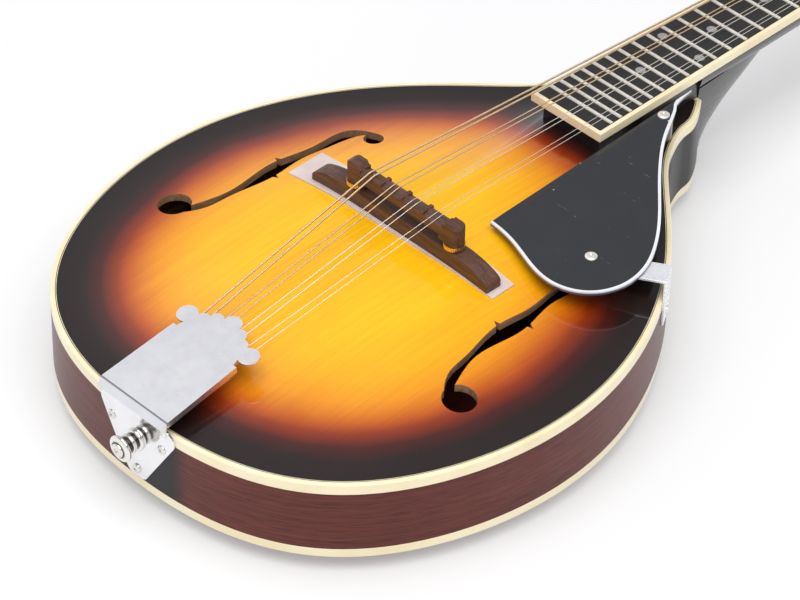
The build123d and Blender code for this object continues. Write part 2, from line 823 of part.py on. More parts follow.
with BuildPart() as post_blank:
    with BuildSketch(Plane.XY.offset(gear_top)):
        Circle(post_radius)
    extrude(amount=post_top - gear_top)
    fillet(post_blank.edges().group_by(Axis.Z)[-1], 0.6)
    with BuildSketch(Plane.XY.offset(gear_top - gear_thickness)):
        Circle(gear_stub_radius)
    extrude(amount=gear_thickness)
    with BuildSketch(Plane.YZ):
        with Locations((0, winding_height + winding_length + 1.6)):
            Circle(0.9)
    extrude(amount=post_radius, both=True, mode=Mode.SUBTRACT)

with BuildPart() as gear_screw_blank:
    with BuildSketch(Plane.XY.offset(gear_top - gear_thickness)):
        Circle(2.2)
    extrude(amount=-1.1, taper=15)

with BuildPart() as winding_blank:
    with BuildSketch(Plane.XY.offset(winding_height)):
        Circle(winding_radius)
        Circle(post_radius, mode=Mode.SUBTRACT)
    extrude(amount=winding_length)

# The knob machine: worm shaft along its own +Z, worm centred on the origin, button outboard
button_start = 17.5
button_width = 13.0
button_reach = 13.5
button_thickness = 6.6

with BuildPart() as worm_blank:
    with BuildSketch(Plane.XY.offset(-ear_offset - ear_thickness - 0.8)):
        Circle(worm_shaft_radius)
    extrude(amount=button_start + 4 + ear_offset + ear_thickness + 0.8)
    with BuildSketch(Plane.XY.offset(-ear_offset + ear_thickness / 2 + 0.15)):
        Circle(worm_radius - 0.7)
    extrude(amount=2 * ear_offset - ear_thickness - 0.3)
    with BuildLine() as thread_path:
        Helix(
            pitch=worm_pitch, height=worm_turns * worm_pitch, radius=worm_radius - 0.75,
            center=(0, 0, -worm_turns * worm_pitch / 2),
        )
    with BuildSketch(Plane(origin=thread_path.line @ 0, x_dir=(1, 0, 0), z_dir=thread_path.line % 0)):
        crest = tooth_width / 2 - 0.55 * tooth_slope
        flank = tooth_width / 2 + 0.75 * tooth_slope
        Polygon((0, -flank), (1.3, -crest), (1.3, crest), (0, flank), align=None)
    sweep(path=thread_path.line, is_frenet=True)

with BuildPart() as button_blank:
    with BuildSketch(Plane.XZ):
        with Locations((0, button_start + button_reach / 2)):
            Ellipse(button_width / 2, button_reach / 2)
    extrude(amount=button_thickness / 2, both=True)
    face_edges = button_blank.edges().filter_by(GeomType.ELLIPSE)
    fillet(face_edges + button_blank.edges().filter_by(GeomType.BSPLINE), 2.2)
    with BuildSketch(Plane.XY.offset(button_start - 0.5)):
        Circle(worm_shaft_radius)
    extrude(amount=4.5, mode=Mode.SUBTRACT)

for index in range(2 * tuners_per_side):
    side = -1 if index < tuners_per_side else 1
    t = tuner_places[index % tuners_per_side]
    post_frame = Plane(
        origin=head_frame.from_local_coords((side * post_x, t, 0)),
        x_dir=(1, 0, 0),
        z_dir=head_frame.z_dir,
    )
    worm_frame = Plane(
        origin=head_frame.from_local_coords((side * post_x, t + worm_distance, gear_middle)),
        x_dir=-head_frame.y_dir,
        z_dir=(side, 0, 0),
    )
    with BuildPart() as tuner_post:
        with Locations(post_frame):
            add([post_blank.part, gear_blank.part, gear_screw_blank.part, winding_blank.part])
    tuner_post.part.label = f"tuner_post_{index + 1}"
    export_step(tuner_post.part, f"parts/tuner_post_{index + 1}.step")
    with BuildPart() as tuner_knob:
        with Locations(worm_frame):
            add([worm_blank.part, button_blank.part])
    tuner_knob.part.label = f"tuner_knob_{index + 1}"
    export_step(tuner_knob.part, f"parts/tuner_knob_{index + 1}.step")

# ---------------------------------------------------------------- bridge
film_corners = [(-68.0, -13.5), (-69.0, 9.0), (59.0, 4.6), (59.5, -10.0)]
film_envelope = top_envelope.part.moved(Location((0, 0, film_thickness)))
base_slope = [(34.0, base_top), (44.0, 17.4), (53.0, 14.6), (base_half, 12.0)]


def height_plane(y):
    """A plane square to Y, with X across and Y up from the rim's top."""
    return Plane(origin=(0, y, rim_top), x_dir=(1, 0, 0), z_dir=(0, -1, 0))


with BuildPart() as bridge_film:
    with BuildSketch(Plane.XY.offset(rim_top)):
        Polygon(*film_corners, align=None)
    extrude(amount=top_arch + 3)
    add(film_envelope, mode=Mode.INTERSECT)
    add(top_envelope.part, mode=Mode.SUBTRACT)
bridge_film.part.label = "bridge_film"
export_step(bridge_film.part, "parts/bridge_film.step")

with BuildPart() as bridge_base:
    with BuildSketch(height_plane(bridge_y + base_depth / 2)):
        with BuildLine():
            Line((0, 0), (0, base_top))
            Line((0, base_top), base_slope[0])
            Spline(*base_slope, tangents=[(1, 0), (0.4, -1)])
            Polyline(base_slope[-1], (base_half, 0), (0, 0))
        make_face()
        mirror(about=Plane.YZ)
    extrude(amount=base_depth)
    add(film_envelope, mode=Mode.SUBTRACT)
    with BuildSketch(Plane.XY.offset(rim_top + base_top)):
        with Locations((-stud_x, bridge_y), (stud_x, bridge_y)):
            Circle(stud_radius)
    extrude(amount=-5.5, mode=Mode.SUBTRACT)
bridge_base.part.label = "bridge_base"
export_step(bridge_base.part, "parts/bridge_base.step")

with BuildPart() as bridge_studs:
    with BuildSketch(Plane.XY.offset(rim_top + base_top - 5.5)):
        with Locations((-stud_x, bridge_y), (stud_x, bridge_y)):
            Circle(stud_radius)
    extrude(amount=15.0)
bridge_studs.part.label = "bridge_studs"
export_step(bridge_studs.part, "parts/bridge_studs.step")

# The saddle stands on the two wheels; its crest steps from course to course
crest_offsets = [-1.3, 0.9, -0.8, 1.3]
crest_half = 0.25
crest_fall = 2.2
saddle_inner = 24.0
saddle_top_half = 28.0
seat_length = 11.4

with BuildPart() as bridge_saddle:
    with BuildSketch(height_plane(bridge_y + saddle_depth / 2)):
        with BuildLine():
            Polyline(
                (0, saddle_arch), (saddle_inner, saddle_arch - 0.6), (saddle_inner, saddle_foot),
                (saddle_half, saddle_foot), (saddle_half, saddle_end_top - 1.6),
            )
            ThreePointArc(
                (saddle_half, saddle_end_top - 1.6), (33.6, saddle_end_top - 0.3), (31.0, saddle_end_top)
            )
            Polyline(
                (31.0, saddle_end_top), (saddle_top_half, saddle_end_top),
                (saddle_top_half - 1, string_seat), (0, string_seat), (0, saddle_arch),
            )
        make_face()
        mirror(about=Plane.YZ)
    extrude(amount=saddle_depth)
    fillet(bridge_saddle.edges().filter_by(Axis.Z).group_by(Axis.X)[0], 2.4)
    fillet(bridge_saddle.edges().filter_by(Axis.Z).group_by(Axis.X)[-1], 2.4)
    for course in range(4):
        crest = bridge_y + crest_offsets[course]
        low_y = bridge_y - saddle_depth / 2 - 1
        high_y = bridge_y + saddle_depth / 2 + 1
        low_z = string_seat - crest_fall
        course_foot = ((course - 1.5) * bridge_course, 0, rim_top)
        with BuildSketch(Plane(origin=course_foot, x_dir=(0, 1, 0), z_dir=(1, 0, 0))):
            Polygon((low_y, low_z), (crest - crest_half, string_seat), (low_y, string_seat), align=None)
            Polygon(
                (high_y, low_z), (high_y, string_seat), (crest + crest_half, string_seat), align=None
            )
        extrude(amount=seat_length / 2, both=True, mode=Mode.SUBTRACT)
    with BuildSketch(Plane.XY.offset(rim_top + saddle_foot)):
        with Locations((-stud_x, bridge_y), (stud_x, bridge_y)):
            Circle(stud_radius + running_gap)
    extrude(amount=9.0, mode=Mode.SUBTRACT)
bridge_saddle.part.label = "bridge_saddle"
export_step(bridge_saddle.part, "parts/bridge_saddle.step")


def thumbwheel(side):
    """A knurled height wheel that turns on its stud under the saddle."""
    with BuildPart() as wheel:
        with BuildSketch(Plane.XY.offset(rim_top + saddle_foot - wheel_thickness)):
            with Locations((side * stud_x, bridge_y)):
                Circle(wheel_radius)
                Circle(stud_radius + running_gap, mode=Mode.SUBTRACT)
                with PolarLocations(wheel_radius + 0.15, 30):
                    Circle(0.32, mode=Mode.SUBTRACT)
        extrude(amount=wheel_thickness)
    return wheel.part


with BuildPart() as thumbwheel_bass:
    add(thumbwheel(-1))
thumbwheel_bass.part.label = "thumbwheel_bass"
export_step(thumbwheel_bass.part, "parts/thumbwheel_bass.step")

with BuildPart() as thumbwheel_treble:
    add(thumbwheel(1))
thumbwheel_treble.part.label = "thumbwheel_treble"
export_step(thumbwheel_treble.part, "parts/thumbwheel_treble.step")

# ---------------------------------------------------------------- tailpiece
plate_corner_half = 25.0
plate_tip_drop = 36.0
flange_half = 19.0
flange_thickness = 1.0
flange_drop = 4.6
flange_length = 38.5
rail_height = 3.5
hook_v = 19.9
hook_height = 2.0
wall_y = tail_plate_y - flange_thickness

with BuildPart() as tailpiece_base:
    # The wall plate follows the curve of the tail: a rounded triangle in front view
    with BuildSketch(Plane.XY.offset(rim_top - plate_tip_drop - 2)):
        add(plate_shape(grow=binding_width + flange_thickness))
        add(body_outline, mode=Mode.SUBTRACT)
        with Locations((0, neck_joint_y)):
            Rectangle(400, 2 * (neck_joint_y - tail_y - 12), mode=Mode.SUBTRACT)
    extrude(amount=plate_tip_drop + 4)
    with BuildSketch(height_plane(tail_plate_y + 20)):
        with BuildLine():
            FilletPolyline(
                (-plate_corner_half, -3), (-5, -plate_tip_drop), (5, -plate_tip_drop),
                (plate_corner_half, -3), (flange_half, 1.5), (-flange_half, 1.5),
                radius=4.0, close=True,
            )
        make_face()
    extrude(amount=40, mode=Mode.INTERSECT)
    # The flange bends over the edge and rises under the cover between two guide rails
    with BuildSketch(Plane.XY.offset(rim_top - 1.5)):
        with Locations((0, wall_y + flange_thickness / 2)):
            Rectangle(2 * flange_half, flange_thickness)
    extrude(amount=5.5)
    with BuildSketch(cover_frame.offset(-flange_drop)):
        with Locations((0, flange_length / 2 - 0.35)):
            Rectangle(2 * flange_half, flange_length)
    extrude(amount=-flange_thickness)
    with BuildSketch(cover_frame.offset(-flange_drop)):
        with Locations((0, flange_length / 2 + 1.65)):
            Rectangle(2 * flange_half, flange_length - 4)
            Rectangle(2 * (flange_half - flange_thickness), flange_length - 4, mode=Mode.SUBTRACT)
    extrude(amount=rail_height)
    with BuildSketch(cover_frame.offset(-flange_drop)):
        with Locations((0, hook_v)):
            with GridLocations(hook_pitch, 1, 8, 1):
                Rectangle(1.5, 1.0)
    extrude(amount=hook_height)
    with BuildSketch(cover_frame.offset(-flange_drop + hook_height)):
        with Locations((0, hook_v - 0.8)):
            with GridLocations(hook_pitch, 1, 8, 1):
                Rectangle(1.5, 2.6)
    extrude(amount=-0.7)
    add(tailpiece_screws.part, mode=Mode.SUBTRACT)
    add(strap_button_screw.part, mode=Mode.SUBTRACT)
tailpiece_base.part.label = "tailpiece_base"
export_step(tailpiece_base.part, "parts/tailpiece_base.step")

# The stamped cover: a tapered top with ears and lobes at its front, two side lips and a rear skirt
lobes = [(19.6, 49.6, 5.0), (11.8, 51.4, 3.9), (7.2, 55.4, 3.6), (0, 58.2, 4.6)]
lip_height = 2.4

with BuildPart() as tailpiece_cover:
    with BuildSketch(cover_frame.offset(-cover_thickness)):
        Polygon(
            (-cover_rear_half, 0), (cover_rear_half, 0), (cover_front_half, cover_length),
            (-cover_front_half, cover_length), align=None,
        )
        Polygon((-18.2, 41), (18.2, 41), (16.0, 52), (7, 57), (-7, 57), (-16.0, 52), align=None)
        for x, v, radius in lobes:
            with Locations((x, v), (-x, v)):
                Circle(radius)
    extrude(amount=cover_thickness)
    for side in (-1, 1):
        with BuildSketch(cover_frame.offset(-cover_thickness)):
            Polygon(
                (side * cover_rear_half, 0), (side * (cover_rear_half - cover_thickness), 0),
                (side * (cover_front_half - cover_thickness), cover_length),
                (side * cover_front_half, cover_length),
                align=None,
            )
        extrude(amount=-lip_height)
    cover_rear = (0, cover_rear_y, rim_top + cover_rear_height)
    with BuildSketch(Plane(origin=cover_rear, x_dir=(0, 1, 0), z_dir=(1, 0, 0))):
        Polygon((0, 0), (-2.6, -4.2), (-1.9, -4.7), (1.0, -0.75), (1.0, 0.1), align=None)
    extrude(amount=cover_rear_half, both=True)
tailpiece_cover.part.label = "tailpiece_cover"
export_step(tailpiece_cover.part, "parts/tailpiece_cover.step")

# ---------------------------------------------------------------- pickguard
guard_corner = (26.0, 23.0)
guard_tip = (23.4, 162.0)
block_radius = 4.6
guard_steps = 14

with BuildLine() as guard_edge:
    Spline(
        guard_corner, (48, 18.4), (73, 12.2), (92, 21.5), (98, 40), (90, 64), (66.7, 93), (42.6, 121.6),
        (29.5, 143.5), guard_tip, tangents=[(1, -0.05), (-0.1, 1)],
    )


def guard_shape(inset):
    """The pickguard's outline, with its curved side drawn in by the given width."""
    points = []
    for step in range(guard_steps + 1):
        place = guard_edge.edge().position_at(step / guard_steps)
        tangent = guard_edge.edge().tangent_at(step / guard_steps)
        points.append((place.X - tangent.Y * inset, place.Y + tangent.X * inset))
    with BuildSketch() as shape:
        with BuildLine():
            Spline(*points, tangents=[(1, -0.05), (-0.1, 1)])
            Line(points[-1], points[0])
        make_face()
        if inset:
            add(guard_shape(0), mode=Mode.INTERSECT)
    return shape.sketch


with BuildPart() as pickguard:
    with BuildSketch(Plane.XY.offset(rim_top + guard_height)):
        add(guard_shape(guard_edging))
    extrude(amount=guard_thickness)
    add(pickguard_screws.part, mode=Mode.SUBTRACT)
pickguard.part.label = "pickguard"
export_step(pickguard.part, "parts/pickguard.step")

with BuildPart() as pickguard_binding:
    with BuildSketch(Plane.XY.offset(rim_top + guard_height)):
        add(guard_shape(0))
        add(guard_shape(guard_edging), mode=Mode.SUBTRACT)
    extrude(amount=guard_thickness)
pickguard_binding.part.label = "pickguard_binding"
export_step(pickguard_binding.part, "parts/pickguard_binding.step")

with BuildPart() as pickguard_bracket:
    with BuildSketch(strap_frame):
        with Locations(((strap_reach + strap_thickness - 6) / 2, 0)):
            Rectangle(strap_reach + strap_thickness + 6, strap_width)
    extrude(amount=strap_thickness)
    fillet(pickguard_bracket.edges().filter_by(Axis.Z).sort_by(Axis.X)[:2], 4.0)
    with BuildSketch(strap_frame.offset(strap_thickness)):
        with Locations((strap_reach + strap_thickness / 2, 0)):
            Rectangle(strap_thickness, strap_width)
    extrude(amount=-(guard_height + strap_foot))
    add(pickguard_screws.part, mode=Mode.SUBTRACT)
pickguard_bracket.part.label = "pickguard_bracket"
export_step(pickguard_bracket.part, "parts/pickguard_bracket.step")

with BuildPart() as pickguard_block:
    with BuildSketch(Plane.XY.offset(rim_top)):
        with Locations(neck_end_screw):
            Circle(block_radius)
    extrude(amount=guard_height)
    add(top_envelope.part, mode=Mode.SUBTRACT)
    add(pickguard_screws.part, mode=Mode.SUBTRACT)
pickguard_block.part.label = "pickguard_block"
export_step(pickguard_block.part, "parts/pickguard_block.step")

# ---------------------------------------------------------------- strings
string_lift = 0.06
winding_gap = 0.1


def string_line(course, string):
    """One string: from its hook over the saddle crest and the nut to the side of its winding."""
    side = -1 if course < 2 else 1
    radius = string_radii[course]
    from_edge = 2 * course + string if course < 2 else 2 * (3 - course) + 1 - string
    hook_x = course_x(course, string, 2 * hook_pitch, hook_pitch)
    saddle_x = course_x(course, string, bridge_course, bridge_pair)
    nut_x = course_x(course, string, nut_course, nut_pair)
    slot_z = nut_rise - 0.6 + radius
    post_side = side * (post_x - winding_radius - radius - winding_gap)
    post_along = tuner_places[from_edge]
    points = [
        cover_frame.from_local_coords((hook_x, hook_v + 0.7, 0.9 - flange_drop)),
        Vector(saddle_x, bridge_y + crest_offsets[course], rim_top + string_seat + radius + string_lift),
        neck_frame.from_local_coords((nut_x, scale_length, slot_z)),
        neck_frame.from_local_coords((nut_x, scale_length + nut_length, slot_z)),
        head_frame.from_local_coords((post_side, post_along, winding_height + winding_length / 2)),
    ]
    with BuildPart() as line:
        with BuildLine() as path:
            Polyline(*points)
        with BuildSketch(Plane(origin=points[0], z_dir=points[1] - points[0])):
            Circle(radius)
        sweep(path=path.line, transition=Transition.RIGHT)
    return line.part


with BuildPart() as wound_strings:
    add([string_line(course, string) for course in (0, 1) for string in (0, 1)])
wound_strings.part.label = "wound_strings"
export_step(wound_strings.part, "parts/wound_strings.step")

with BuildPart() as plain_strings:
    add([string_line(course, string) for course in (2, 3) for string in (0, 1)])
plain_strings.part.label = "plain_strings"
export_step(plain_strings.part, "parts/plain_strings.step")
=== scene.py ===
"""The looks of a sunburst mandolin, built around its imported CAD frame.

Every length is in metres, in the frame's own coordinates: X to the treble side, Y to the
headstock, Z up, with the instrument lying on its back.
"""
import json
import math
import random

import bmesh
import bpy
import numpy as np
from mathutils import Matrix, Vector


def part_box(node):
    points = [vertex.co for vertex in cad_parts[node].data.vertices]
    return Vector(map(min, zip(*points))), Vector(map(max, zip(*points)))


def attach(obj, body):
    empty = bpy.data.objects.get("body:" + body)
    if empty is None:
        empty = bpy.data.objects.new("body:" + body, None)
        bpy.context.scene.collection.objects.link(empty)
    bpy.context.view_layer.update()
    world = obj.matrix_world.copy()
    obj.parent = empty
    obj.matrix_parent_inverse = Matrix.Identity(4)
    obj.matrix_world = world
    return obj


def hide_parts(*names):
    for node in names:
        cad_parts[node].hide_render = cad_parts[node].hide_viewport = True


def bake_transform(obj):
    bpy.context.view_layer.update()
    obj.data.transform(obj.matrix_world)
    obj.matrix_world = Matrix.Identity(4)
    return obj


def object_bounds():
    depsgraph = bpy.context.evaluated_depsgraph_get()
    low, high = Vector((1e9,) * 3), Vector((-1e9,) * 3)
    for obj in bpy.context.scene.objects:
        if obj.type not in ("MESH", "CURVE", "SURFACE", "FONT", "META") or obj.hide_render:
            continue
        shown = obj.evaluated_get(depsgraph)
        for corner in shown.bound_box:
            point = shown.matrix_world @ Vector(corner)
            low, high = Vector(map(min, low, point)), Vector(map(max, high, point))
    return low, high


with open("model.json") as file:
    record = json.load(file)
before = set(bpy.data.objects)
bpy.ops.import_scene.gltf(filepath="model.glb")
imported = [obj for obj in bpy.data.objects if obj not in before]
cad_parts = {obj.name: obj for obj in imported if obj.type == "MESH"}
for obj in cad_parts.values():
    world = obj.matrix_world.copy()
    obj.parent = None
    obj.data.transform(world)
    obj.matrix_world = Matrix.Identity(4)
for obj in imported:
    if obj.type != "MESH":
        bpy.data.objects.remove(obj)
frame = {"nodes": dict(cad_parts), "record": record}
cad_box = [[float(value) for value in corner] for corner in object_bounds()]
cad = frame["nodes"]
MM = 0.001
random.seed(11)

# ------------------------------------------------------------------ measures of the object
RIM_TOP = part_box("top_purfling")[1][2]
TOP_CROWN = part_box("top_plate")[1][2]
ARCH_CENTRE = np.array([0.0, -20 * MM])
CROWN_FLAT = 0.15
ARCH_POWER = 1.2
PLATE_THICKNESS = 4.0 * MM
SKIRT_OVERHANG = 2.5 * MM


# ------------------------------------------------------------------ node helpers
def start_material(name, **sockets):
    """A material whose principled shader has the given sockets set directly."""
    mat = bpy.data.materials.new(name)
    mat.use_nodes = True
    shader = mat.node_tree.nodes["Principled BSDF"]
    for socket, value in sockets.items():
        shader.inputs[socket.replace("_", " ")].default_value = value
    return mat, shader


def node(mat, kind, inputs=None, **settings):
    """Adds a node. An input may be a number, a colour or another node's output."""
    made = mat.node_tree.nodes.new(kind)
    for key, value in settings.items():
        setattr(made, key, value)
    for socket, value in (inputs or {}).items():
        if isinstance(value, bpy.types.NodeSocket):
            mat.node_tree.links.new(value, made.inputs[socket])
        else:
            made.inputs[socket].default_value = value
    return made


def connect(mat, output, target):
    mat.node_tree.links.new(output, target)


def stretched(mat, scale, source=None):
    """Object coordinates (or a UV map) multiplied by a scale for each axis."""
    if source:
        coords = node(mat, "ShaderNodeUVMap", uv_map=source).outputs["UV"]
    else:
        coords = node(mat, "ShaderNodeTexCoord").outputs["Object"]
    return node(mat, "ShaderNodeMapping", {"Vector": coords, "Scale": scale}).outputs["Vector"]


def place_in_object(mat):
    """The surface point's own X, Y and Z, as three outputs."""
    coords = node(mat, "ShaderNodeTexCoord").outputs["Object"]
    return node(mat, "ShaderNodeSeparateXYZ", {"Vector": coords}).outputs


def noise(mat, scale, detail=3.0, roughness=0.55, distortion=0.0, vector=None):
    """Noise in 0..1. The scale is in waves per metre, or per unit of the given vector."""
    if vector is None:
        vector = stretched(mat, (1, 1, 1))
    inputs = {"Vector": vector, "Scale": scale, "Detail": detail, "Roughness": roughness,
              "Distortion": distortion}
    return node(mat, "ShaderNodeTexNoise", inputs).outputs["Fac"]


def ramp(mat, factor, stops, smooth=False):
    """A colour ramp; a stop's colour may be a grey number or three channels."""
    made = node(mat, "ShaderNodeValToRGB", {"Fac": factor})
    made.color_ramp.interpolation = "EASE" if smooth else "LINEAR"
    elements = made.color_ramp.elements
    while len(elements) < len(stops):
        elements.new(0.5)
    for element, (place, colour) in zip(elements, stops):
        element.position = place
        red, green, blue = colour if isinstance(colour, tuple) else (colour, colour, colour)
        element.color = (red, green, blue, 1)
    return made.outputs["Color"]


def math_node(mat, operation, first, second=0.5, clamp=False):
    made = node(mat, "ShaderNodeMath", {0: first, 1: second}, operation=operation, use_clamp=clamp)
    return made.outputs["Value"]


def vector_math(mat, operation, first, second=(0.0, 0.0, 0.0)):
    return node(mat, "ShaderNodeVectorMath", {0: first, 1: second}, operation=operation)


def mix(mat, factor, first, second, blend="MIX"):
    """Mixes two colours; a plain colour is given as three channels."""
    made = node(mat, "ShaderNodeMix", data_type="RGBA", blend_type=blend)
    slots = [s for s in made.inputs if s.type == "RGBA"]
    for socket, value in ((made.inputs[0], factor), (slots[0], first), (slots[1], second)):
        if isinstance(value, bpy.types.NodeSocket):
            mat.node_tree.links.new(value, socket)
        elif isinstance(value, tuple):
            socket.default_value = (*value, 1)
        else:
            socket.default_value = value
    return [s for s in made.outputs if s.type == "RGBA"][0]


def bump(mat, height, strength, distance, target="Normal"):
    """Bumps the principled shader's surface by a height in 0..1 times a distance."""
    made = node(mat, "ShaderNodeBump", {"Height": height, "Strength": strength, "Distance": distance})
    shader = mat.node_tree.nodes["Principled BSDF"]
    connect(mat, made.outputs["Normal"], shader.inputs[target])


# ------------------------------------------------------------------ materials
def burst_lacquer():
    """The soundboard: amber shading to black with the distance from the edge, under clear gloss."""
    mat, shader = start_material("burst_lacquer", Roughness=0.38, Coat_Weight=1.0, Coat_Roughness=0.025)
    shader.inputs["Specular IOR Level"].default_value = 0.2
    edge = node(mat, "ShaderNodeAttribute", attribute_name="edge_distance").outputs["Fac"]
    wander = math_node(mat, "MULTIPLY", math_node(mat, "SUBTRACT", noise(mat, 22.0, 2.0), 0.5), 0.008)
    place = math_node(mat, "MULTIPLY", math_node(mat, "ADD", edge, wander), 10.0)
    burst = ramp(mat, place, [
        (0.00, (0.010, 0.0045, 0.0038)), (0.12, (0.016, 0.0055, 0.0045)),
        (0.20, (0.062, 0.0075, 0.0045)),
        (0.28, (0.27, 0.031, 0.0035)), (0.34, (0.52, 0.102, 0.0025)), (0.40, (0.68, 0.20, 0.0022)),
        (0.46, (0.81, 0.295, 0.0020)), (0.58, (0.925, 0.42, 0.0022)), (0.70, (0.965, 0.49, 0.0030)),
        (0.85, (0.985, 0.535, 0.0040)),
    ])
    grain = noise(mat, 1.0, 4.0, 0.6, 0.3, stretched(mat, (620, 14, 40)))
    broad = noise(mat, 1.0, 2.0, 0.5, 0.6, stretched(mat, (28, 7, 20)))
    lines = ramp(mat, grain, [(0.3, (0.90, 0.86, 0.78)), (0.62, (1.0, 1.0, 1.0))])
    flames = ramp(mat, broad, [(0.35, (0.95, 0.91, 0.80)), (0.65, (1.0, 1.0, 1.0))])
    coloured = mix(mat, 1.0, mix(mat, 1.0, burst, lines, "MULTIPLY"), flames, "MULTIPLY")
    connect(mat, coloured, shader.inputs["Base Color"])
    bump(mat, noise(mat, 40.0, 2.0), 0.03, 0.0003, "Coat Normal")
    return mat


def cut_wood():
    """Raw edges of the plate at the sound holes, and its unfinished underside."""
    mat, shader = start_material("cut_wood", Roughness=0.75)
    grain = noise(mat, 1.0, 5.0, 0.6, 0.4, stretched(mat, (700, 30, 500)))
    wood = ramp(mat, grain, [(0.3, (0.20, 0.10, 0.05)), (0.7, (0.42, 0.25, 0.13))])
    connect(mat, wood, shader.inputs["Base Color"])
    bump(mat, grain, 0.4, 0.0002)
    return mat


def stained_side():
    """Red-brown stained sides: fine grain along the bend, black at the tail and towards the neck."""
    mat, shader = start_material("stained_side", Roughness=0.40, Coat_Weight=0.18, Coat_Roughness=0.06)
    shader.inputs["Specular IOR Level"].default_value = 0.18
    streak = noise(mat, 1.0, 5.0, 0.65, 0.4, stretched(mat, (9, 9, 620)))
    pores = noise(mat, 1.0, 3.0, 0.6, 0.0, stretched(mat, (90, 90, 2400)))
    cloud = noise(mat, 16.0, 2.0)
    wood = ramp(mat, streak, [
        (0.25, (0.082, 0.014, 0.010)), (0.5, (0.125, 0.024, 0.017)), (0.8, (0.175, 0.040, 0.027)),
    ])
    for factor, stops in ((pores, [(0.38, (0.62, 0.56, 0.56)), (0.52, (1.0, 1.0, 1.0))]),
                          (cloud, [(0.3, (0.84, 0.82, 0.82)), (0.7, (1.0, 1.0, 1.0))])):
        wood = mix(mat, 1.0, wood, ramp(mat, factor, stops), "MULTIPLY")
    place = place_in_object(mat)
    across = math_node(mat, "ABSOLUTE", math_node(mat, "SUBTRACT", place["X"], 0.006), 0.0)
    behind = math_node(mat, "MULTIPLY", math_node(mat, "ADD", place["Y"], 0.12), 2.0, True)
    tail_near = math_node(mat, "ADD", math_node(mat, "MULTIPLY", across, 10.0), behind)
    tail_shade = ramp(mat, tail_near, [(0.13, 0.0), (0.26, 1.0)], True)
    neck_near = math_node(mat, "MULTIPLY", place["Y"], 5.0)
    neck_shade = ramp(mat, neck_near, [(0.12, 1.0), (0.55, 0.0)], True)
    shade = mix(mat, 1.0, tail_shade, neck_shade, "MULTIPLY")
    connect(mat, mix(mat, shade, (0.012, 0.009, 0.010), wood), shader.inputs["Base Color"])
    bump(mat, streak, 0.10, 0.0002)
    return mat


def shaded_neck():
    """Mahogany neck, sprayed black at the headstock's face, and black towards the body, which is painted
    shade on the riser under the fingerboard's end.
    """
    dark, light = (0.060, 0.013, 0.009), (0.150, 0.037, 0.025)
    mat = grained_wood("neck_mahogany", dark, light, (330, 9, 330), 0.30, 0.12, 0.6)
    shader = mat.node_tree.nodes["Principled BSDF"]
    wood = shader.inputs["Base Color"].links[0].from_socket
    place = place_in_object(mat)
    # Black below about 0.22 m of Y: painted shade on the riser under the fingerboard's end, and the neck
    # near the body; mostly black again towards the headstock.
    shade = ramp(mat, math_node(mat, "MULTIPLY", place["Y"], 2.0),
                 [(0.44, 0.0), (0.56, 1.0), (0.66, 1.0), (0.78, 0.25)], True)
    connect(mat, mix(mat, shade, (0.010, 0.008, 0.009), wood), shader.inputs["Base Color"])
    return mat


def grained_wood(name, dark, light, scale, gloss, pore_depth=0.25, coat=0.0):
    """A wood whose grain follows the given waves per metre along X, Y and Z."""
    mat, shader = start_material(name, Roughness=gloss, Coat_Weight=coat, Coat_Roughness=0.12)
    streak = noise(mat, 1.0, 5.0, 0.62, 0.7, stretched(mat, scale))
    fine = noise(mat, 1.0, 3.0, 0.6, 0.0, stretched(mat, tuple(3.2 * s for s in scale)))
    wood = ramp(mat, streak, [(0.28, dark), (0.72, light)])
    wood = mix(mat, 1.0, wood, ramp(mat, fine, [(0.36, 0.6), (0.5, 1.0)]), "MULTIPLY")
    connect(mat, wood, shader.inputs["Base Color"])
    rough = ramp(mat, streak, [(0.3, min(1.0, gloss + 0.10)), (0.7, max(0.0, gloss - 0.06))])
    connect(mat, rough, shader.inputs["Roughness"])
    bump(mat, fine, pore_depth, 0.0002)
    return mat


def moulded(name, low, high, roughness, coat=0.6):
    """Plastic with a faint cloud of colour and a nearly flat polish."""
    mat, shader = start_material(name, Roughness=roughness, Coat_Weight=coat, Coat_Roughness=0.05)
    cloud = noise(mat, 45.0, 3.0)
    colour = ramp(mat, cloud, [(0.3, low), (0.7, high)])
    connect(mat, colour, shader.inputs["Base Color"])
    bump(mat, noise(mat, 260.0, 2.0), 0.06, 0.0002)
    return mat


def scuffed_black():
    """The pickguard: black gloss with dust grains and a few hairline scratches."""
    mat, shader = start_material("scuffed_black", Roughness=0.16, Coat_Weight=0.5, Coat_Roughness=0.06)
    cell_inputs = {"Vector": stretched(mat, (1, 1, 1)), "Scale": 95.0, "Randomness": 1.0}
    dust_cells = node(mat, "ShaderNodeTexVoronoi", cell_inputs)
    dust = ramp(mat, dust_cells.outputs["Distance"], [(0.04, 1.0), (0.075, 0.0)])
    keep = ramp(mat, dust_cells.outputs["Color"], [(0.52, 0.0), (0.58, 1.0)])
    dust = mix(mat, 1.0, dust, keep, "MULTIPLY")
    hair = noise(mat, 1.0, 2.0, 0.5, 1.5, stretched(mat, (60, 700, 10)))
    hairs = ramp(mat, hair, [(0.735, 0.0), (0.75, 0.35)])
    marks = mix(mat, 1.0, dust, hairs, "ADD")
    colour = mix(mat, marks, (0.026, 0.027, 0.031), (0.55, 0.55, 0.53))
    connect(mat, colour, shader.inputs["Base Color"])
    polish = ramp(mat, noise(mat, 60.0, 4.0), [(0.3, 0.10), (0.7, 0.24)])
    connect(mat, polish, shader.inputs["Roughness"])
    bump(mat, marks, 0.3, 0.0001)
    return mat


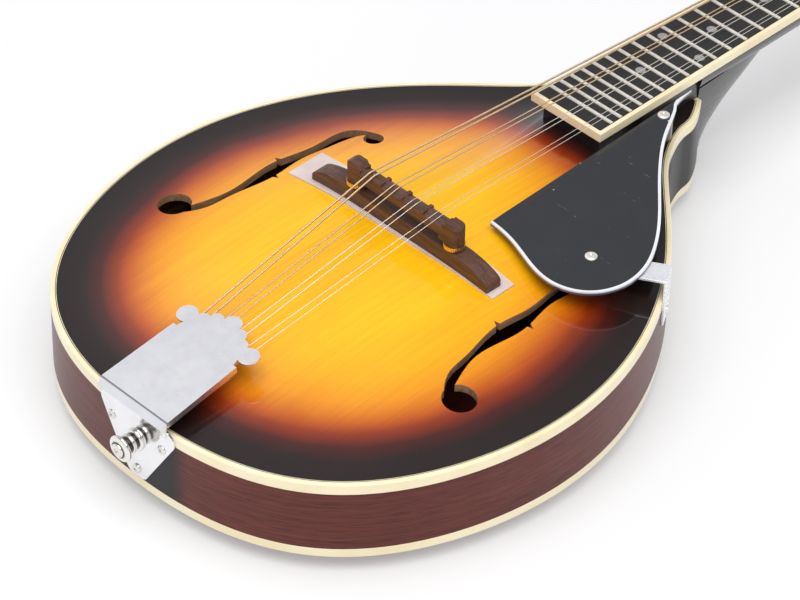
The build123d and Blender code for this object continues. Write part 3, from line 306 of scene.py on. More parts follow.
def plated(name, colour, roughness, ripple=0.05, wear=0.0, metal=1.0):
    """Bright plated metal: a faint ripple, fine hairlines and slightly uneven polish."""
    mat, shader = start_material(name, Metallic=metal)
    cloud = noise(mat, 120.0, 3.0)
    tint = ramp(mat, cloud, [(0.3, tuple(0.93 * c for c in colour)), (0.7, colour)])
    if wear:
        spots = ramp(mat, noise(mat, 420.0, 4.0), [(0.60, 1.0), (0.70, 1.0 - wear)])
        tint = mix(mat, 1.0, tint, spots, "MULTIPLY")
    connect(mat, tint, shader.inputs["Base Color"])
    polish = ramp(mat, noise(mat, 1.0, 4.0, 0.7, 0.0, stretched(mat, (1400, 90, 900))),
                  [(0.3, max(0.0, roughness - 0.05)), (0.7, roughness + 0.06)])
    connect(mat, polish, shader.inputs["Roughness"])
    bump(mat, noise(mat, 90.0, 2.0), ripple, 0.0004)
    return mat


def engraved_chrome():
    """The stamped cover: satin plate with shallow engraved scrolls, and painted shade along its fold."""
    mat, shader = start_material("engraved_chrome", Metallic=1.0)
    cloud = noise(mat, 80.0, 3.0)
    tint = ramp(mat, cloud, [(0.3, (0.80, 0.80, 0.82)), (0.7, (0.88, 0.88, 0.89))])
    place = place_in_object(mat)
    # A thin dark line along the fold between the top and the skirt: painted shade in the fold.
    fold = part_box("tailpiece_cover")[0][1] + SKIRT_OVERHANG
    beside = math_node(mat, "ABSOLUTE", math_node(mat, "SUBTRACT", place["Y"], fold), 0.0)
    beside_mm = math_node(mat, "MULTIPLY", beside, 1000.0)
    painted_fold_shade = ramp(mat, beside_mm, [(0.12, (0.30, 0.30, 0.32)), (0.42, (1.0, 1.0, 1.0))])
    connect(mat, mix(mat, 1.0, tint, painted_fold_shade, "MULTIPLY"), shader.inputs["Base Color"])
    polish = ramp(mat, noise(mat, 300.0, 3.0), [(0.3, 0.27), (0.7, 0.34)])
    connect(mat, polish, shader.inputs["Roughness"])
    curl_inputs = {"Vector": stretched(mat, (1, 1, 0.2)), "Scale": 110.0}
    curls = node(mat, "ShaderNodeTexVoronoi", curl_inputs)
    rings = math_node(mat, "SINE", math_node(mat, "MULTIPLY", curls.outputs["Distance"], 26.0), 0.0)
    lines = ramp(mat, rings, [(0.55, 0.0), (0.85, 1.0)])
    mask = ramp(mat, noise(mat, 48.0, 1.0), [(0.40, 0.0), (0.56, 1.0)])
    bump(mat, mix(mat, 1.0, lines, mask, "MULTIPLY"), 0.05, 0.0001)
    return mat


def turned_chrome():
    """The strap button: warm plate, with painted shade in the grooves between its rings."""
    mat = plated("turned_chrome", (0.84, 0.82, 0.78), 0.16)
    shader = mat.node_tree.nodes["Principled BSDF"]
    plate = shader.inputs["Base Color"].links[0].from_socket
    low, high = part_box("strap_button")
    centre = (0.0, 0.0, (low[2] + high[2]) / 2)
    place = node(mat, "ShaderNodeTexCoord").outputs["Object"]
    offset = vector_math(mat, "SUBTRACT", place, centre).outputs["Vector"]
    flat = vector_math(mat, "MULTIPLY", offset, (1.0, 0.0, 1.0)).outputs["Vector"]
    radius_cm = math_node(mat, "MULTIPLY", vector_math(mat, "LENGTH", flat).outputs["Value"], 100.0)
    # Darker below about 4.5 mm from the axis: painted shade in the grooves between the rings and round
    # the screw on the domed end.
    painted_groove_shade = ramp(mat, radius_cm, [
        (0.36, (0.10, 0.09, 0.09)), (0.40, (0.30, 0.28, 0.26)), (0.45, (1.0, 1.0, 1.0)),
    ])
    connect(mat, mix(mat, 1.0, plate, painted_groove_shade, "MULTIPLY"), shader.inputs["Base Color"])
    return mat


def laminate_and_shade_edge():
    """The guard's edging: white on top, its side darker, partly laminate lines and partly painted shade.
    """
    mat, shader = start_material("laminate_and_shade_edge", Roughness=0.25, Coat_Weight=0.6, Coat_Roughness=0.05)
    normal = node(mat, "ShaderNodeNewGeometry").outputs["Normal"]
    facing = node(mat, "ShaderNodeSeparateXYZ", {"Vector": normal})
    place = place_in_object(mat)
    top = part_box("pickguard_binding")[1][2]
    depth = math_node(mat, "MULTIPLY", math_node(mat, "SUBTRACT", top, place["Z"]), 400.0)
    white = (0.80, 0.81, 0.84)
    # Down the side: white for the top 0.75 mm, then dark blue-grey, partly laminate lines and partly
    # painted shade.
    layers = ramp(mat, depth, [
        (0.0, white), (0.30, white), (0.36, (0.10, 0.11, 0.16)), (1.0, (0.06, 0.07, 0.10)),
    ])
    cloud = ramp(mat, noise(mat, 60.0, 2.0), [(0.3, (0.90, 0.90, 0.90)), (0.7, (1.0, 1.0, 1.0))])
    # Faces turned up stay white and side faces take the darker layers: painted shade by facing.
    top_face = ramp(mat, facing.outputs["Z"], [(0.5, (0.0, 0.0, 0.0)), (0.9, (1.0, 1.0, 1.0))])
    colour = mix(mat, 1.0, mix(mat, top_face, layers, white), cloud, "MULTIPLY")
    connect(mat, colour, shader.inputs["Base Color"])
    bump(mat, noise(mat, 260.0, 2.0), 0.06, 0.0002)
    return mat


def pearl_dot():
    """Dull mother-of-pearl, clouded grey and cream."""
    mat, shader = start_material("pearl_dot", Roughness=0.18, Coat_Weight=1.0, Coat_Roughness=0.03)
    sheen = noise(mat, 420.0, 2.0, 0.5, 2.5)
    colours = [(0.30, (0.22, 0.25, 0.24)), (0.48, (0.34, 0.34, 0.32)),
               (0.64, (0.30, 0.27, 0.28)), (0.8, (0.40, 0.40, 0.38))]
    connect(mat, ramp(mat, sheen, colours), shader.inputs["Base Color"])
    return mat


def wound_wire():
    """Bronze winding on a steel core, as fine turns along the string's length."""
    mat, shader = start_material("wound_wire", Metallic=1.0, Roughness=0.3)
    turn_inputs = {"Vector": stretched(mat, (1, 1, 1), "along"), "Scale": 560.0}
    turns = node(mat, "ShaderNodeTexWave", turn_inputs, bands_direction="X")
    tint = ramp(mat, turns.outputs["Color"], [(0.0, (0.42, 0.27, 0.14)), (0.6, (0.86, 0.66, 0.42))])
    connect(mat, tint, shader.inputs["Base Color"])
    bump(mat, turns.outputs["Color"], 0.6, 0.0001)
    return mat


def soft_foam():
    """Thin closed-cell packing film left under the bridge."""
    mat, shader = start_material("soft_foam", Roughness=0.62)
    shader.inputs["Subsurface Weight"].default_value = 0.3
    shader.inputs["Subsurface Radius"].default_value = (0.004, 0.003, 0.002)
    cells = node(mat, "ShaderNodeTexVoronoi", {"Vector": stretched(mat, (1, 1, 1)), "Scale": 700.0})
    colour = ramp(mat, noise(mat, 60.0, 3.0), [(0.3, (0.56, 0.45, 0.41)), (0.7, (0.70, 0.60, 0.56))])
    connect(mat, colour, shader.inputs["Base Color"])
    bump(mat, cells.outputs["Distance"], 0.3, 0.0002)
    return mat


LOOKS = {
    "burst": burst_lacquer(),
    "cut_wood": cut_wood(),
    "side": stained_side(),
    "inner": grained_wood("inner_spruce", (0.34, 0.20, 0.10), (0.56, 0.38, 0.20), (420, 12, 420), 0.8),
    "neck": shaded_neck(),
    "ebony": grained_wood("ebonized_board", (0.008, 0.0075, 0.0078), (0.022, 0.020, 0.020),
                          (520, 16, 300), 0.42, 0.3),
    "rosewood": grained_wood("bridge_rosewood", (0.030, 0.011, 0.007), (0.165, 0.062, 0.034),
                             (30, 520, 520), 0.46, 0.35),
    "cream": moulded("cream_binding", (0.84, 0.72, 0.44), (0.92, 0.82, 0.56), 0.28, 0.7),
    "white": laminate_and_shade_edge(),
    "bone": moulded("bone_nut", (0.72, 0.66, 0.50), (0.82, 0.77, 0.63), 0.3),
    "black_line": moulded("black_line", (0.006, 0.006, 0.007), (0.012, 0.012, 0.013), 0.3),
    "black_gloss": moulded("black_gloss", (0.006, 0.006, 0.0065), (0.011, 0.011, 0.012), 0.12, 1.0),
    "guard": scuffed_black(),
    "chrome": plated("bright_chrome", (0.86, 0.86, 0.88), 0.10),
    "engraved": engraved_chrome(),
    "nickel": plated("fret_nickel", (0.90, 0.86, 0.78), 0.32, metal=0.7),
    "satin": plated("satin_chrome", (0.90, 0.90, 0.93), 0.28, metal=0.45),
    "turned": turned_chrome(),
    "round_head": plated("round_head_plate", (0.86, 0.82, 0.76), 0.30, metal=0.55),
    "machine": plated("machine_plate", (0.66, 0.65, 0.62), 0.24, 0.05, 0.15),
    "screw": plated("screw_plate", (0.78, 0.76, 0.72), 0.22),
    "brass": plated("turned_brass", (0.80, 0.56, 0.24), 0.22, 0.05, 0.25),
    "pearl": pearl_dot(),
    "wound": wound_wire(),
    "plain": plated("plain_wire", (0.92, 0.86, 0.74), 0.36, metal=0.8),
    "foam": soft_foam(),
}


# ------------------------------------------------------------------ mesh helpers
def add_piece(name, mesh, body, look, stands_for):
    """Puts a mesh, kept inside the CAD box, on a body with its look, and hides the nodes it stands for.
    """
    corners = np.empty(3 * len(mesh.vertices))
    mesh.vertices.foreach_get("co", corners)
    mesh.vertices.foreach_set("co", np.clip(corners.reshape(-1, 3), *cad_box).ravel())
    piece = bpy.data.objects.new(name, mesh)
    bpy.context.scene.collection.objects.link(piece)
    if not mesh.materials:
        mesh.materials.append(LOOKS[look])
    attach(piece, body)
    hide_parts(*stands_for)


def smooth(mesh, degrees=35):
    """Smooth shading that keeps edges sharper than the angle."""
    mesh.shade_smooth()
    mesh.set_sharp_from_angle(angle=math.radians(degrees))


def grid_mesh(name, rows, close_rows=False, along=None):
    """A quad mesh through closed rows of points; along gives each row's UV distance."""
    rows = np.asarray(rows)
    count, width = rows.shape[:2]
    faces = []
    uvs = []
    for i in range(count if close_rows else count - 1):
        for j in range(width):
            i2, j2 = (i + 1) % count, (j + 1) % width
            faces.append((i * width + j, i * width + j2, i2 * width + j2, i2 * width + j))
            uvs += [(i, j), (i, j + 1), (i + 1, j + 1), (i + 1, j)]
    mesh = bpy.data.meshes.new(name)
    mesh.from_pydata(rows.reshape(-1, 3).tolist(), [], faces)
    if along is not None:
        layer = mesh.uv_layers.new(name="along")
        around = np.concatenate([[0], np.cumsum(np.linalg.norm(np.diff(rows[0], axis=0), axis=1))])
        around = np.append(around, around[-1] + np.linalg.norm(rows[0][-1] - rows[0][0]))
        coords = [(along[min(i, len(along) - 1)], around[j]) for i, j in uvs]
        layer.data.foreach_set("uv", np.array(coords, dtype=np.float32).ravel())
    mesh.update()
    return mesh


def capped(mesh):
    """Fills a tube's open ends, where it has any, and turns every face outwards."""
    bm = bmesh.new()
    bm.from_mesh(mesh)
    bmesh.ops.holes_fill(bm, edges=[e for e in bm.edges if e.is_boundary], sides=0)
    bmesh.ops.recalc_face_normals(bm, faces=bm.faces)
    bm.to_mesh(mesh)
    bm.free()
    return mesh


def subtract(mesh, cutters):
    """The first mesh less the others."""
    target = bpy.data.objects.new("target", mesh)
    tools = [bpy.data.objects.new("tool", cutter) for cutter in cutters]
    for item in (target, *tools):
        bpy.context.scene.collection.objects.link(item)
    for tool in tools:
        modifier = target.modifiers.new("cut", "BOOLEAN")
        modifier.operation = "DIFFERENCE"
        modifier.solver = "EXACT"
        modifier.object = tool
    evaluated = target.evaluated_get(bpy.context.evaluated_depsgraph_get())
    result = bpy.data.meshes.new_from_object(evaluated)
    for item in (target, *tools):
        bpy.data.objects.remove(item)
    return result


def boundary_loops(name, facing):
    """Closed loops round the faces of a CAD node that the test accepts, longest first."""
    bm = bmesh.new()
    bm.from_mesh(cad[name].data)
    bmesh.ops.remove_doubles(bm, verts=bm.verts, dist=1e-6)
    chosen = {f for f in bm.faces if facing(f)}
    steps = {}
    for face in chosen:
        for loop in face.loops:
            if sum(f in chosen for f in loop.edge.link_faces) == 1:
                steps[loop.vert.index] = loop.link_loop_next.vert.index
    bm.verts.ensure_lookup_table()
    loops = []
    while steps:
        start, current = steps.popitem()
        chain = [start]
        while current != start and current in steps:
            chain.append(current)
            current = steps.pop(current)
        loops.append(np.array([bm.verts[i].co[:] for i in chain]))
    bm.free()
    return sorted(loops, key=lambda loop: -np.linalg.norm(np.diff(loop, axis=0), axis=1).sum())


def spline(points, count):
    """Resamples points evenly along a natural cubic spline through them."""
    points = np.asarray(points, dtype=float)
    t = np.concatenate([[0], np.cumsum(np.linalg.norm(np.diff(points, axis=0), axis=1))])
    n = len(t)
    h = np.diff(t)
    system = np.eye(n)
    right = np.zeros((n, points.shape[1]))
    for i in range(1, n - 1):
        system[i, i - 1:i + 2] = (h[i - 1], 2 * (h[i - 1] + h[i]), h[i])
        after, before = (points[i + 1] - points[i]) / h[i], (points[i] - points[i - 1]) / h[i - 1]
        right[i] = 6 * (after - before)
    bend = np.linalg.solve(system, right)
    where = np.linspace(0, t[-1], count)
    k = np.clip(np.searchsorted(t, where) - 1, 0, n - 2)
    a, b, width = (t[k + 1] - where)[:, None], (where - t[k])[:, None], h[k][:, None]
    curve = bend[k] * a**3 / (6 * width) + bend[k + 1] * b**3 / (6 * width)
    low, high = points[k] / width - bend[k] * width / 6, points[k + 1] / width - bend[k + 1] * width / 6
    return curve + (low * a + high * b)


# ------------------------------------------------------------------ body outline
HALF_STATIONS = 220
NECK_STATIONS = 16
SLACK = 1e-5
NECK_SHADE_END = 115 * MM
NECK_SHADE_SLOPE = 1.1
NECK_SHADE_BLEND = 10 * MM


def half_outline():
    """The plate's edge from the tail to the neck joint, and its outward normals."""
    loop = boundary_loops("top_purfling", lambda f: f.normal.z > 0.9)[0][:, :2]
    neck_y = loop[:, 1].max()
    right = loop[(loop[:, 0] > -SLACK)]
    right = right[np.argsort(np.arctan2(right[:, 0], -(right[:, 1] - ARCH_CENTRE[1])))]
    corner = right[np.argmax(np.where(right[:, 1] > neck_y - SLACK, right[:, 0], -1))]
    side = [p for p in right if p[1] < neck_y - SLACK]
    points = spline(np.array([*side, corner]), HALF_STATIONS)
    points[0, 0] = 0.0
    tangent = np.gradient(points, axis=0)
    tangent[0] = (1, 0)
    tangent /= np.linalg.norm(tangent, axis=1)[:, None]
    return points, np.stack([tangent[:, 1], -tangent[:, 0]], axis=1), tangent[-1]


half_points, half_normals, corner_tangent = half_outline()


def outline(grow=0.0):
    """The whole closed outline, grown by a width, starting at the tail towards the treble side."""
    half = half_points + half_normals * grow
    corner_y = half_points[-1, 1] + grow
    lean = corner_tangent[0] / corner_tangent[1]
    half[-1] = (half[-1, 0] + lean * (corner_y - half[-1, 1]), corner_y)
    across = np.linspace(half[-1, 0], -half[-1, 0], NECK_STATIONS)[1:-1]
    end = np.stack([across, np.full(len(across), corner_y)], axis=1)
    mirrored = half[:0:-1] * (-1, 1)
    return np.concatenate([half, end, mirrored])


PLATE_LOOP = outline()
LOOP_X, LOOP_Y = (PLATE_LOOP - ARCH_CENTRE).T
POLAR_ORDER = np.argsort(np.arctan2(LOOP_Y, LOOP_X))
POLAR_ANGLE = np.arctan2(LOOP_Y, LOOP_X)[POLAR_ORDER]
POLAR_RADIUS = np.hypot(LOOP_X, LOOP_Y)[POLAR_ORDER]


def arch_share(scale):
    """Height of the arching, 0 at the edge and 1 on the crown, at a scale of the outline."""
    step = np.clip((scale - CROWN_FLAT) / (1 - CROWN_FLAT), 0, 1)
    return np.cos(math.pi / 2 * step**ARCH_POWER) ** 2


def arch_height(points, rise):
    """Height of the carved surface over points given as X and Y."""
    offset = points[:, :2] - ARCH_CENTRE
    angle = np.arctan2(offset[:, 1], offset[:, 0])
    edge = np.interp(angle, POLAR_ANGLE, POLAR_RADIUS, period=2 * math.pi)
    return rise * arch_share(np.hypot(offset[:, 0], offset[:, 1]) / edge)


def edge_distance(points):
    """Distance from the plate's edge, shortened towards the neck where the shading closes in."""
    distance = np.full(len(points), 1.0)
    batch = 4000
    for start in range(0, len(points), batch):
        part = points[start:start + batch, None, :2] - PLATE_LOOP[None]
        distance[start:start + batch] = np.sqrt((part**2).sum(axis=2)).min(axis=1)
    neck = (NECK_SHADE_END - points[:, 1]) * NECK_SHADE_SLOPE
    soft = NECK_SHADE_BLEND
    blend = np.clip(0.5 + (neck - distance) / (2 * soft), 0, 1)
    return np.maximum(neck * (1 - blend) + distance * blend - soft * blend * (1 - blend), 0)


# ------------------------------------------------------------------ carved plates
PLATE_RINGS = 64
PURFLING_LOOPS = boundary_loops("top_purfling", lambda f: f.normal.z > 0.9)
PURFLING_GROW = abs(PURFLING_LOOPS[1][:, 0]).max() - abs(PURFLING_LOOPS[0][:, 0]).max()


def carved_mesh(name, grow, edge_z, rise, thickness):
    """A closed carved plate: the arched face outside and the same arch, set back, inside."""
    edge = outline(grow)
    scales = np.linspace(0.02, 1.0, PLATE_RINGS) ** 0.9
    outer = []
    for scale in scales:
        ring = ARCH_CENTRE + (edge - ARCH_CENTRE) * scale
        outer.append(np.column_stack([ring, edge_z + arch_height(ring, rise)]))
    sign = math.copysign(1, rise)
    inner = [row - np.array([0, 0, sign * thickness]) for row in outer]
    rows = np.concatenate([np.array(inner), np.array(outer)[::-1]])
    return capped(grid_mesh(name, rows))


def prism(points, low, high):
    """An upright prism over a closed outline, between two heights."""
    ring = points[:, :2]
    rows = [np.column_stack([ring, np.full(len(ring), z)]) for z in (low, high)]
    return capped(grid_mesh("prism", rows))


def arch_normals(mesh, rise):
    """Gives the carved faces the exact normals of the arching, so the gloss runs clean."""
    count = len(mesh.loops)
    vertex_of = np.empty(count, dtype=np.int32)
    mesh.loops.foreach_get("vertex_index", vertex_of)
    points = np.empty(len(mesh.vertices) * 3)
    mesh.vertices.foreach_get("co", points)
    points = points.reshape(-1, 3)
    step = 0.3 * MM
    slopes = [(arch_height(points + way, rise) - arch_height(points - way, rise)) / (2 * step)
              for way in (np.array([step, 0, 0]), np.array([0, step, 0]))]
    carved = np.column_stack([-slopes[0], -slopes[1], np.ones(len(points))])
    carved /= np.linalg.norm(carved, axis=1)[:, None]
    normals = np.empty((count, 3))
    for face in mesh.polygons:
        for index in face.loop_indices:
            if abs(face.normal.z) > 0.5:
                normals[index] = carved[vertex_of[index]] * math.copysign(1, face.normal.z)
            else:
                normals[index] = face.normal
    mesh.shade_smooth()
    mesh.normals_split_custom_set(normals.tolist())


def make_soundboard():
    top_faces = boundary_loops("top_plate", lambda f: f.normal.z > 0.3)
    holes = [loop for loop in top_faces
             if 50 * MM < abs(loop[:, 0].mean()) < 100 * MM and len(loop) > 20]
    rise = TOP_CROWN - RIM_TOP
    mesh = carved_mesh("soundboard", PURFLING_GROW, RIM_TOP, rise, PLATE_THICKNESS)
    low, high = RIM_TOP - 20 * MM, RIM_TOP + 30 * MM
    mesh = subtract(mesh, [prism(hole, low, high) for hole in holes[:2]])
    mesh.name = "soundboard"
    mesh.materials.clear()
    mesh.materials.append(LOOKS["burst"])
    mesh.materials.append(LOOKS["cut_wood"])
    for face in mesh.polygons:
        face.material_index = 0 if face.normal.z > 0.5 else 1
    arch_normals(mesh, rise)
    points = np.array([v.co[:] for v in mesh.vertices])
    layer = mesh.attributes.new("edge_distance", "FLOAT", "POINT")
    layer.data.foreach_set("value", edge_distance(points).astype(np.float32))
    add_piece("soundboard", mesh, "body", "burst", ["top_plate"])


make_soundboard()


# ------------------------------------------------------------------ where each node belongs
BODIES = frame["record"]["behaviour"]["bodies"]
BODY_OF = {name: body for body, names in BODIES.items() for name in names}


# ------------------------------------------------------------------ bindings and purfling
def loops_mesh(name, profile):
    """A closed band round the body; the profile gives a width beyond the outline and a height."""
    rows = [np.column_stack([outline(grow), np.full(len(PLATE_LOOP), z)]) for grow, z in profile]
    return capped(grid_mesh(name, rows, close_rows=True))


def rounded_profile(grow_in, grow_out, low, high, radius, round_low=False):
    """A band's section with its outer corner rounded off."""
    turns = [(math.cos(a), math.sin(a)) for a in map(math.radians, range(0, 91, 15))]
    if round_low:
        corner = [(grow_out - radius + radius * c, low + radius - radius * s) for c, s in turns]
        return [(grow_in, low), (grow_in, high), (grow_out, high), *corner]
    corner = [(grow_out - radius + radius * c, high - radius + radius * s) for c, s in turns]
    return [(grow_in, low), (grow_out, low), *corner, (grow_in, high)]


BINDING_ROUNDING = 0.6 * MM


def make_bindings():
    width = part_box("top_binding")[1][0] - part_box("top_purfling")[1][0]
    for name, round_low in (("top_binding", False), ("back_binding", True)):
        low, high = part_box(name)[0][2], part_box(name)[1][2]
        profile = rounded_profile(0, width, low, high, BINDING_ROUNDING, round_low)
        mesh = loops_mesh(name + "_band", profile)
        smooth(mesh)
        add_piece(name + "_band", mesh, "body", "cream", [name])


def make_purfling():
    """Black, white and black lines let in between the plate and its binding."""
    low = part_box("top_purfling")[0][2]
    edges = [share * PURFLING_GROW for share in (0.0, 0.38, 0.66, 1.0)]
    profile = [(0.0, low), *[(grow, RIM_TOP) for grow in edges], (PURFLING_GROW, low)]
    mesh = loops_mesh("purfling_lines", profile)
    mesh.materials.append(LOOKS["black_line"])
    mesh.materials.append(LOOKS["cream"])
    count = len(PLATE_LOOP)
    for face in mesh.polygons:
        face.material_index = 1 if face.index // count == 2 else 0
    add_piece("purfling_lines", mesh, "body", "black_line", ["top_purfling"])


make_bindings()
make_purfling()


# ------------------------------------------------------------------ softened CAD shapes
def finish_piece(name, width, look):
    """Stands for a CAD node with the same shape, its sharp edges softened by a width."""
    bm = bmesh.new()
    bm.from_mesh(cad[name].data)
    bmesh.ops.remove_doubles(bm, verts=bm.verts, dist=2e-6)
    bmesh.ops.dissolve_limit(bm, angle_limit=math.radians(0.4), verts=bm.verts, edges=bm.edges)
    mesh = bpy.data.meshes.new(name + "_finished")
    bm.to_mesh(mesh)
    bm.free()
    mesh.shade_smooth()
    holder = bpy.data.objects.new("bevel_holder", mesh)
    bpy.context.scene.collection.objects.link(holder)
    modifier = holder.modifiers.new("soften", "BEVEL")
    modifier.width = width
    modifier.segments = 2
    modifier.limit_method = "ANGLE"
    modifier.angle_limit = math.radians(30)
    modifier.miter_outer = "MITER_ARC"
    weigher = holder.modifiers.new("weigh", "WEIGHTED_NORMAL")
    weigher.weight = 100
    evaluated = holder.evaluated_get(bpy.context.evaluated_depsgraph_get())
    result = bpy.data.meshes.new_from_object(evaluated)
    bpy.data.objects.remove(holder)
    result.name = name + "_finished"
    result.materials.clear()
    add_piece(name + "_finished", result, BODY_OF[name], look, [name])


for name, width_mm, look in (
    ("bridge_saddle", 0.45, "rosewood"), ("bridge_base", 0.5, "rosewood"),
    ("tailpiece_cover", 0.22, "engraved"), ("tailpiece_base", 0.22, "chrome"),
    ("pickguard_bracket", 0.2, "satin"), ("pickguard_binding", 0.3, "white"),
    ("fingerboard_binding", 0.4, "cream"), ("nut", 0.3, "bone"),
    ("truss_rod_cover", 0.3, "black_gloss"),
):
    finish_piece(name, width_mm * MM, look)


# ------------------------------------------------------------------ screws
HEAD_EDGE_SHARE = 0.35
RECESS_ARM, RECESS_HALF_WIDTH, RECESS_DEPTH = 0.5, 0.1, 0.6


def loose_parts(name):
    """A CAD node's separate solids: merged vertices, and the axis that each is turned about."""
    bm = bmesh.new()
    bm.from_mesh(cad[name].data)
    bmesh.ops.remove_doubles(bm, verts=bm.verts, dist=2e-6)
    waiting = set(bm.verts)
    parts = []
    while waiting:
        stack = [waiting.pop()]
        found = []
        while stack:
            vertex = stack.pop()
            found.append(vertex)
            for edge in vertex.link_edges:
                other = edge.other_vert(vertex)
                if other in waiting:
                    waiting.discard(other)
                    stack.append(other)
        faces = {face for vertex in found for face in vertex.link_faces}
        spread = sum(np.outer(face.normal, face.normal) * face.calc_area() for face in faces)
        sizes, ways = np.linalg.eigh(spread)
        axis = ways[:, 0 if sizes[1] - sizes[0] > sizes[2] - sizes[1] else 2]
        parts.append((np.array([vertex.co[:] for vertex in found]), axis))
    bm.free()
    return sorted(parts, key=lambda part: (round(part[0][:, 0].mean(), 4), part[0][:, 1].mean()))


def across_axes(axis):
    """Two unit vectors square to an axis."""
    side = np.cross(axis, (0, 0, 1) if abs(axis[2]) < 0.9 else (1, 0, 0))
    side /= np.linalg.norm(side)
    return side, np.cross(axis, side)


def turned(name, sections, base, axis, sides=40):
    """A turned shape along an axis, from (distance, radius) sections, closed at both ends."""
    side, up = across_axes(axis)
    angles = np.linspace(0, 2 * math.pi, sides, endpoint=False)
    ring = [math.cos(a) * side + math.sin(a) * up for a in angles]
    rows = [[base + axis * d + r * spoke for spoke in ring] for d, r in sections]
    return capped(grid_mesh(name, rows))


def cross_cutter(face, axis, arm, half, depth, turn):
    """A tapered cross that cuts the driver recess into a screw's head."""
    side, up = across_axes(axis)
    c, s = math.cos(turn), math.sin(turn)
    side, up = c * side + s * up, c * up - s * side
    ring = []
    for c, s in ((1, 0), (0, 1), (-1, 0), (0, -1)):
        ring += [(c * x - s * y, s * x + c * y) for x, y in ((arm, -half), (arm, half), (half, half))]
    rows = []
    for distance, share in ((0.3 * depth, 1.1), (-depth, 0.45)):
        rows.append([face + axis * distance + side * x * share + up * y * share for x, y in ring])
    return capped(grid_mesh("cross_cutter", rows))


def join_meshes(name, meshes):
    """One mesh holding all the given ones."""
    bm = bmesh.new()
    for mesh in meshes:
        bm.from_mesh(mesh)
    joined = bpy.data.meshes.new(name)
    bm.to_mesh(joined)
    bm.free()
    return joined


def make_screws(name, look):
    """Domed cross-head screws in the place of a node's plain ones."""
    made = []
    for part, axis in loose_parts(name):
        ends = part @ axis
        radial = np.linalg.norm(np.cross(part - part.mean(axis=0), axis), axis=1)
        first_end, last_end = ends < ends.min() + 0.1 * MM, ends > ends.max() - 0.1 * MM
        if radial[first_end].max() > radial[last_end].max():
            axis = -axis
        side, up = across_axes(axis)
        distance = part @ axis
        base = axis * distance.min()
        for square in (side, up):
            base = base + square * ((part @ square).min() + (part @ square).max()) / 2
        distance = distance - distance.min()
        radial = np.linalg.norm(np.cross(part - base, axis), axis=1)
        head_radius = radial.max()
        seat = distance[radial > 0.97 * head_radius].min()
        length = distance.max()
        lower = radial[distance < 0.05 * MM]
        shank = lower.max()
        rise = length - seat
        edge = HEAD_EDGE_SHARE * rise
        sections = [(0, shank), (seat, shank), (seat, head_radius), (seat + edge, head_radius)]
        for step in range(1, 10):
            angle = math.radians(10 * step)
            height = seat + edge + (rise - edge) * math.sin(angle)
            sections.append((height, head_radius * max(math.cos(angle), 0.03)))
        body = turned("screw", sections, base, axis)
        tip = base + axis * length
        arm, half, depth = RECESS_ARM * head_radius, RECESS_HALF_WIDTH * head_radius, RECESS_DEPTH * rise
        cutter = cross_cutter(tip, axis, arm, half, depth, random.uniform(0, 1.5))
        made.append(subtract(body, [cutter]))
    mesh = join_meshes(name + "_crossed", made)
    smooth(mesh, 30)
    add_piece(name + "_crossed", mesh, BODY_OF[name], look, [name])


for name, look in (("tailpiece_screws", "screw"), ("strap_button_screw", "screw"),
                   ("pickguard_screws", "round_head"), ("headstock_screws", "screw")):
    make_screws(name, look)


# ------------------------------------------------------------------ strap button
def make_strap_button():
    """A turned button: a ringed neck under a domed flange with the screw's seat."""
    low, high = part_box("strap_button")
    reach = high[1] - low[1]
    base = np.array([0.0, high[1], (low[2] + high[2]) / 2])
    flange = (high[2] - low[2]) / 2
    profile = [
        (0.00, 0.82), (0.10, 0.82), (0.15, 0.72), (0.20, 0.55), (0.27, 0.55), (0.32, 0.70),
        (0.40, 0.74), (0.48, 0.70), (0.53, 0.55), (0.60, 0.53), (0.68, 0.60), (0.76, 0.90),
        (0.82, 1.00), (0.88, 1.00), (0.93, 0.95), (0.965, 0.82), (0.985, 0.68), (1.00, 0.52),
        (0.985, 0.46), (0.94, 0.30),
    ]
    points = spline([(d * reach, r * flange) for d, r in profile], 120)
    points[:, 0] = np.clip(points[:, 0], 0, reach)
    points[:, 1] = np.clip(points[:, 1], 0, flange)
    mesh = turned("strap_button_turned", points, base, np.array([0.0, -1.0, 0.0]), 72)
    smooth(mesh, 50)
    add_piece("strap_button_turned", mesh, "body", "turned", ["strap_button"])


make_strap_button()


# ------------------------------------------------------------------ strings
STATION_GAP = 2.2 * MM
EYE_RADIUS = 1.5 * MM
WRAP_START = 1.6 * MM
WRAP_TURNS = 9


def string_lines(name):
    """Each string's path and radius, read from the rings of its CAD solid."""
    lines = []
    for part, _ in loose_parts(name):
        part = part[np.argsort(part[:, 1])]
        gaps = np.nonzero(np.diff(part[:, 1]) > STATION_GAP)[0] + 1
        stations = np.split(part, gaps)
        centres = np.array([(station.min(axis=0) + station.max(axis=0)) / 2 for station in stations])
        first = stations[0] - centres[0]
        lines.append((centres, float(np.median(np.linalg.norm(first, axis=1)))))
    return lines


def tube(name, path, radius, sides=12):
    """A round wire along a path, closed at both ends, with its length as UV."""
    path = np.asarray(path)
    tangents = np.gradient(path, axis=0)
    tangents /= np.linalg.norm(tangents, axis=1)[:, None]
    side, up = across_axes(tangents[0])
    rows = []
    for point, tangent in zip(path, tangents):
        side = side - tangent * (side @ tangent)
        side /= np.linalg.norm(side)
        up = np.cross(tangent, side)
        angles = np.linspace(0, 2 * math.pi, sides, endpoint=False)
        rows.append(point + radius * (np.outer(np.cos(angles), side) + np.outer(np.sin(angles), up)))
    along = np.concatenate([[0], np.cumsum(np.linalg.norm(np.diff(path, axis=0), axis=1))])
    return capped(grid_mesh(name, rows, along=along))


def straight(start, end, count=30):
    share = np.linspace(0, 1, count)[:, None]
    return start * (1 - share) + end * share


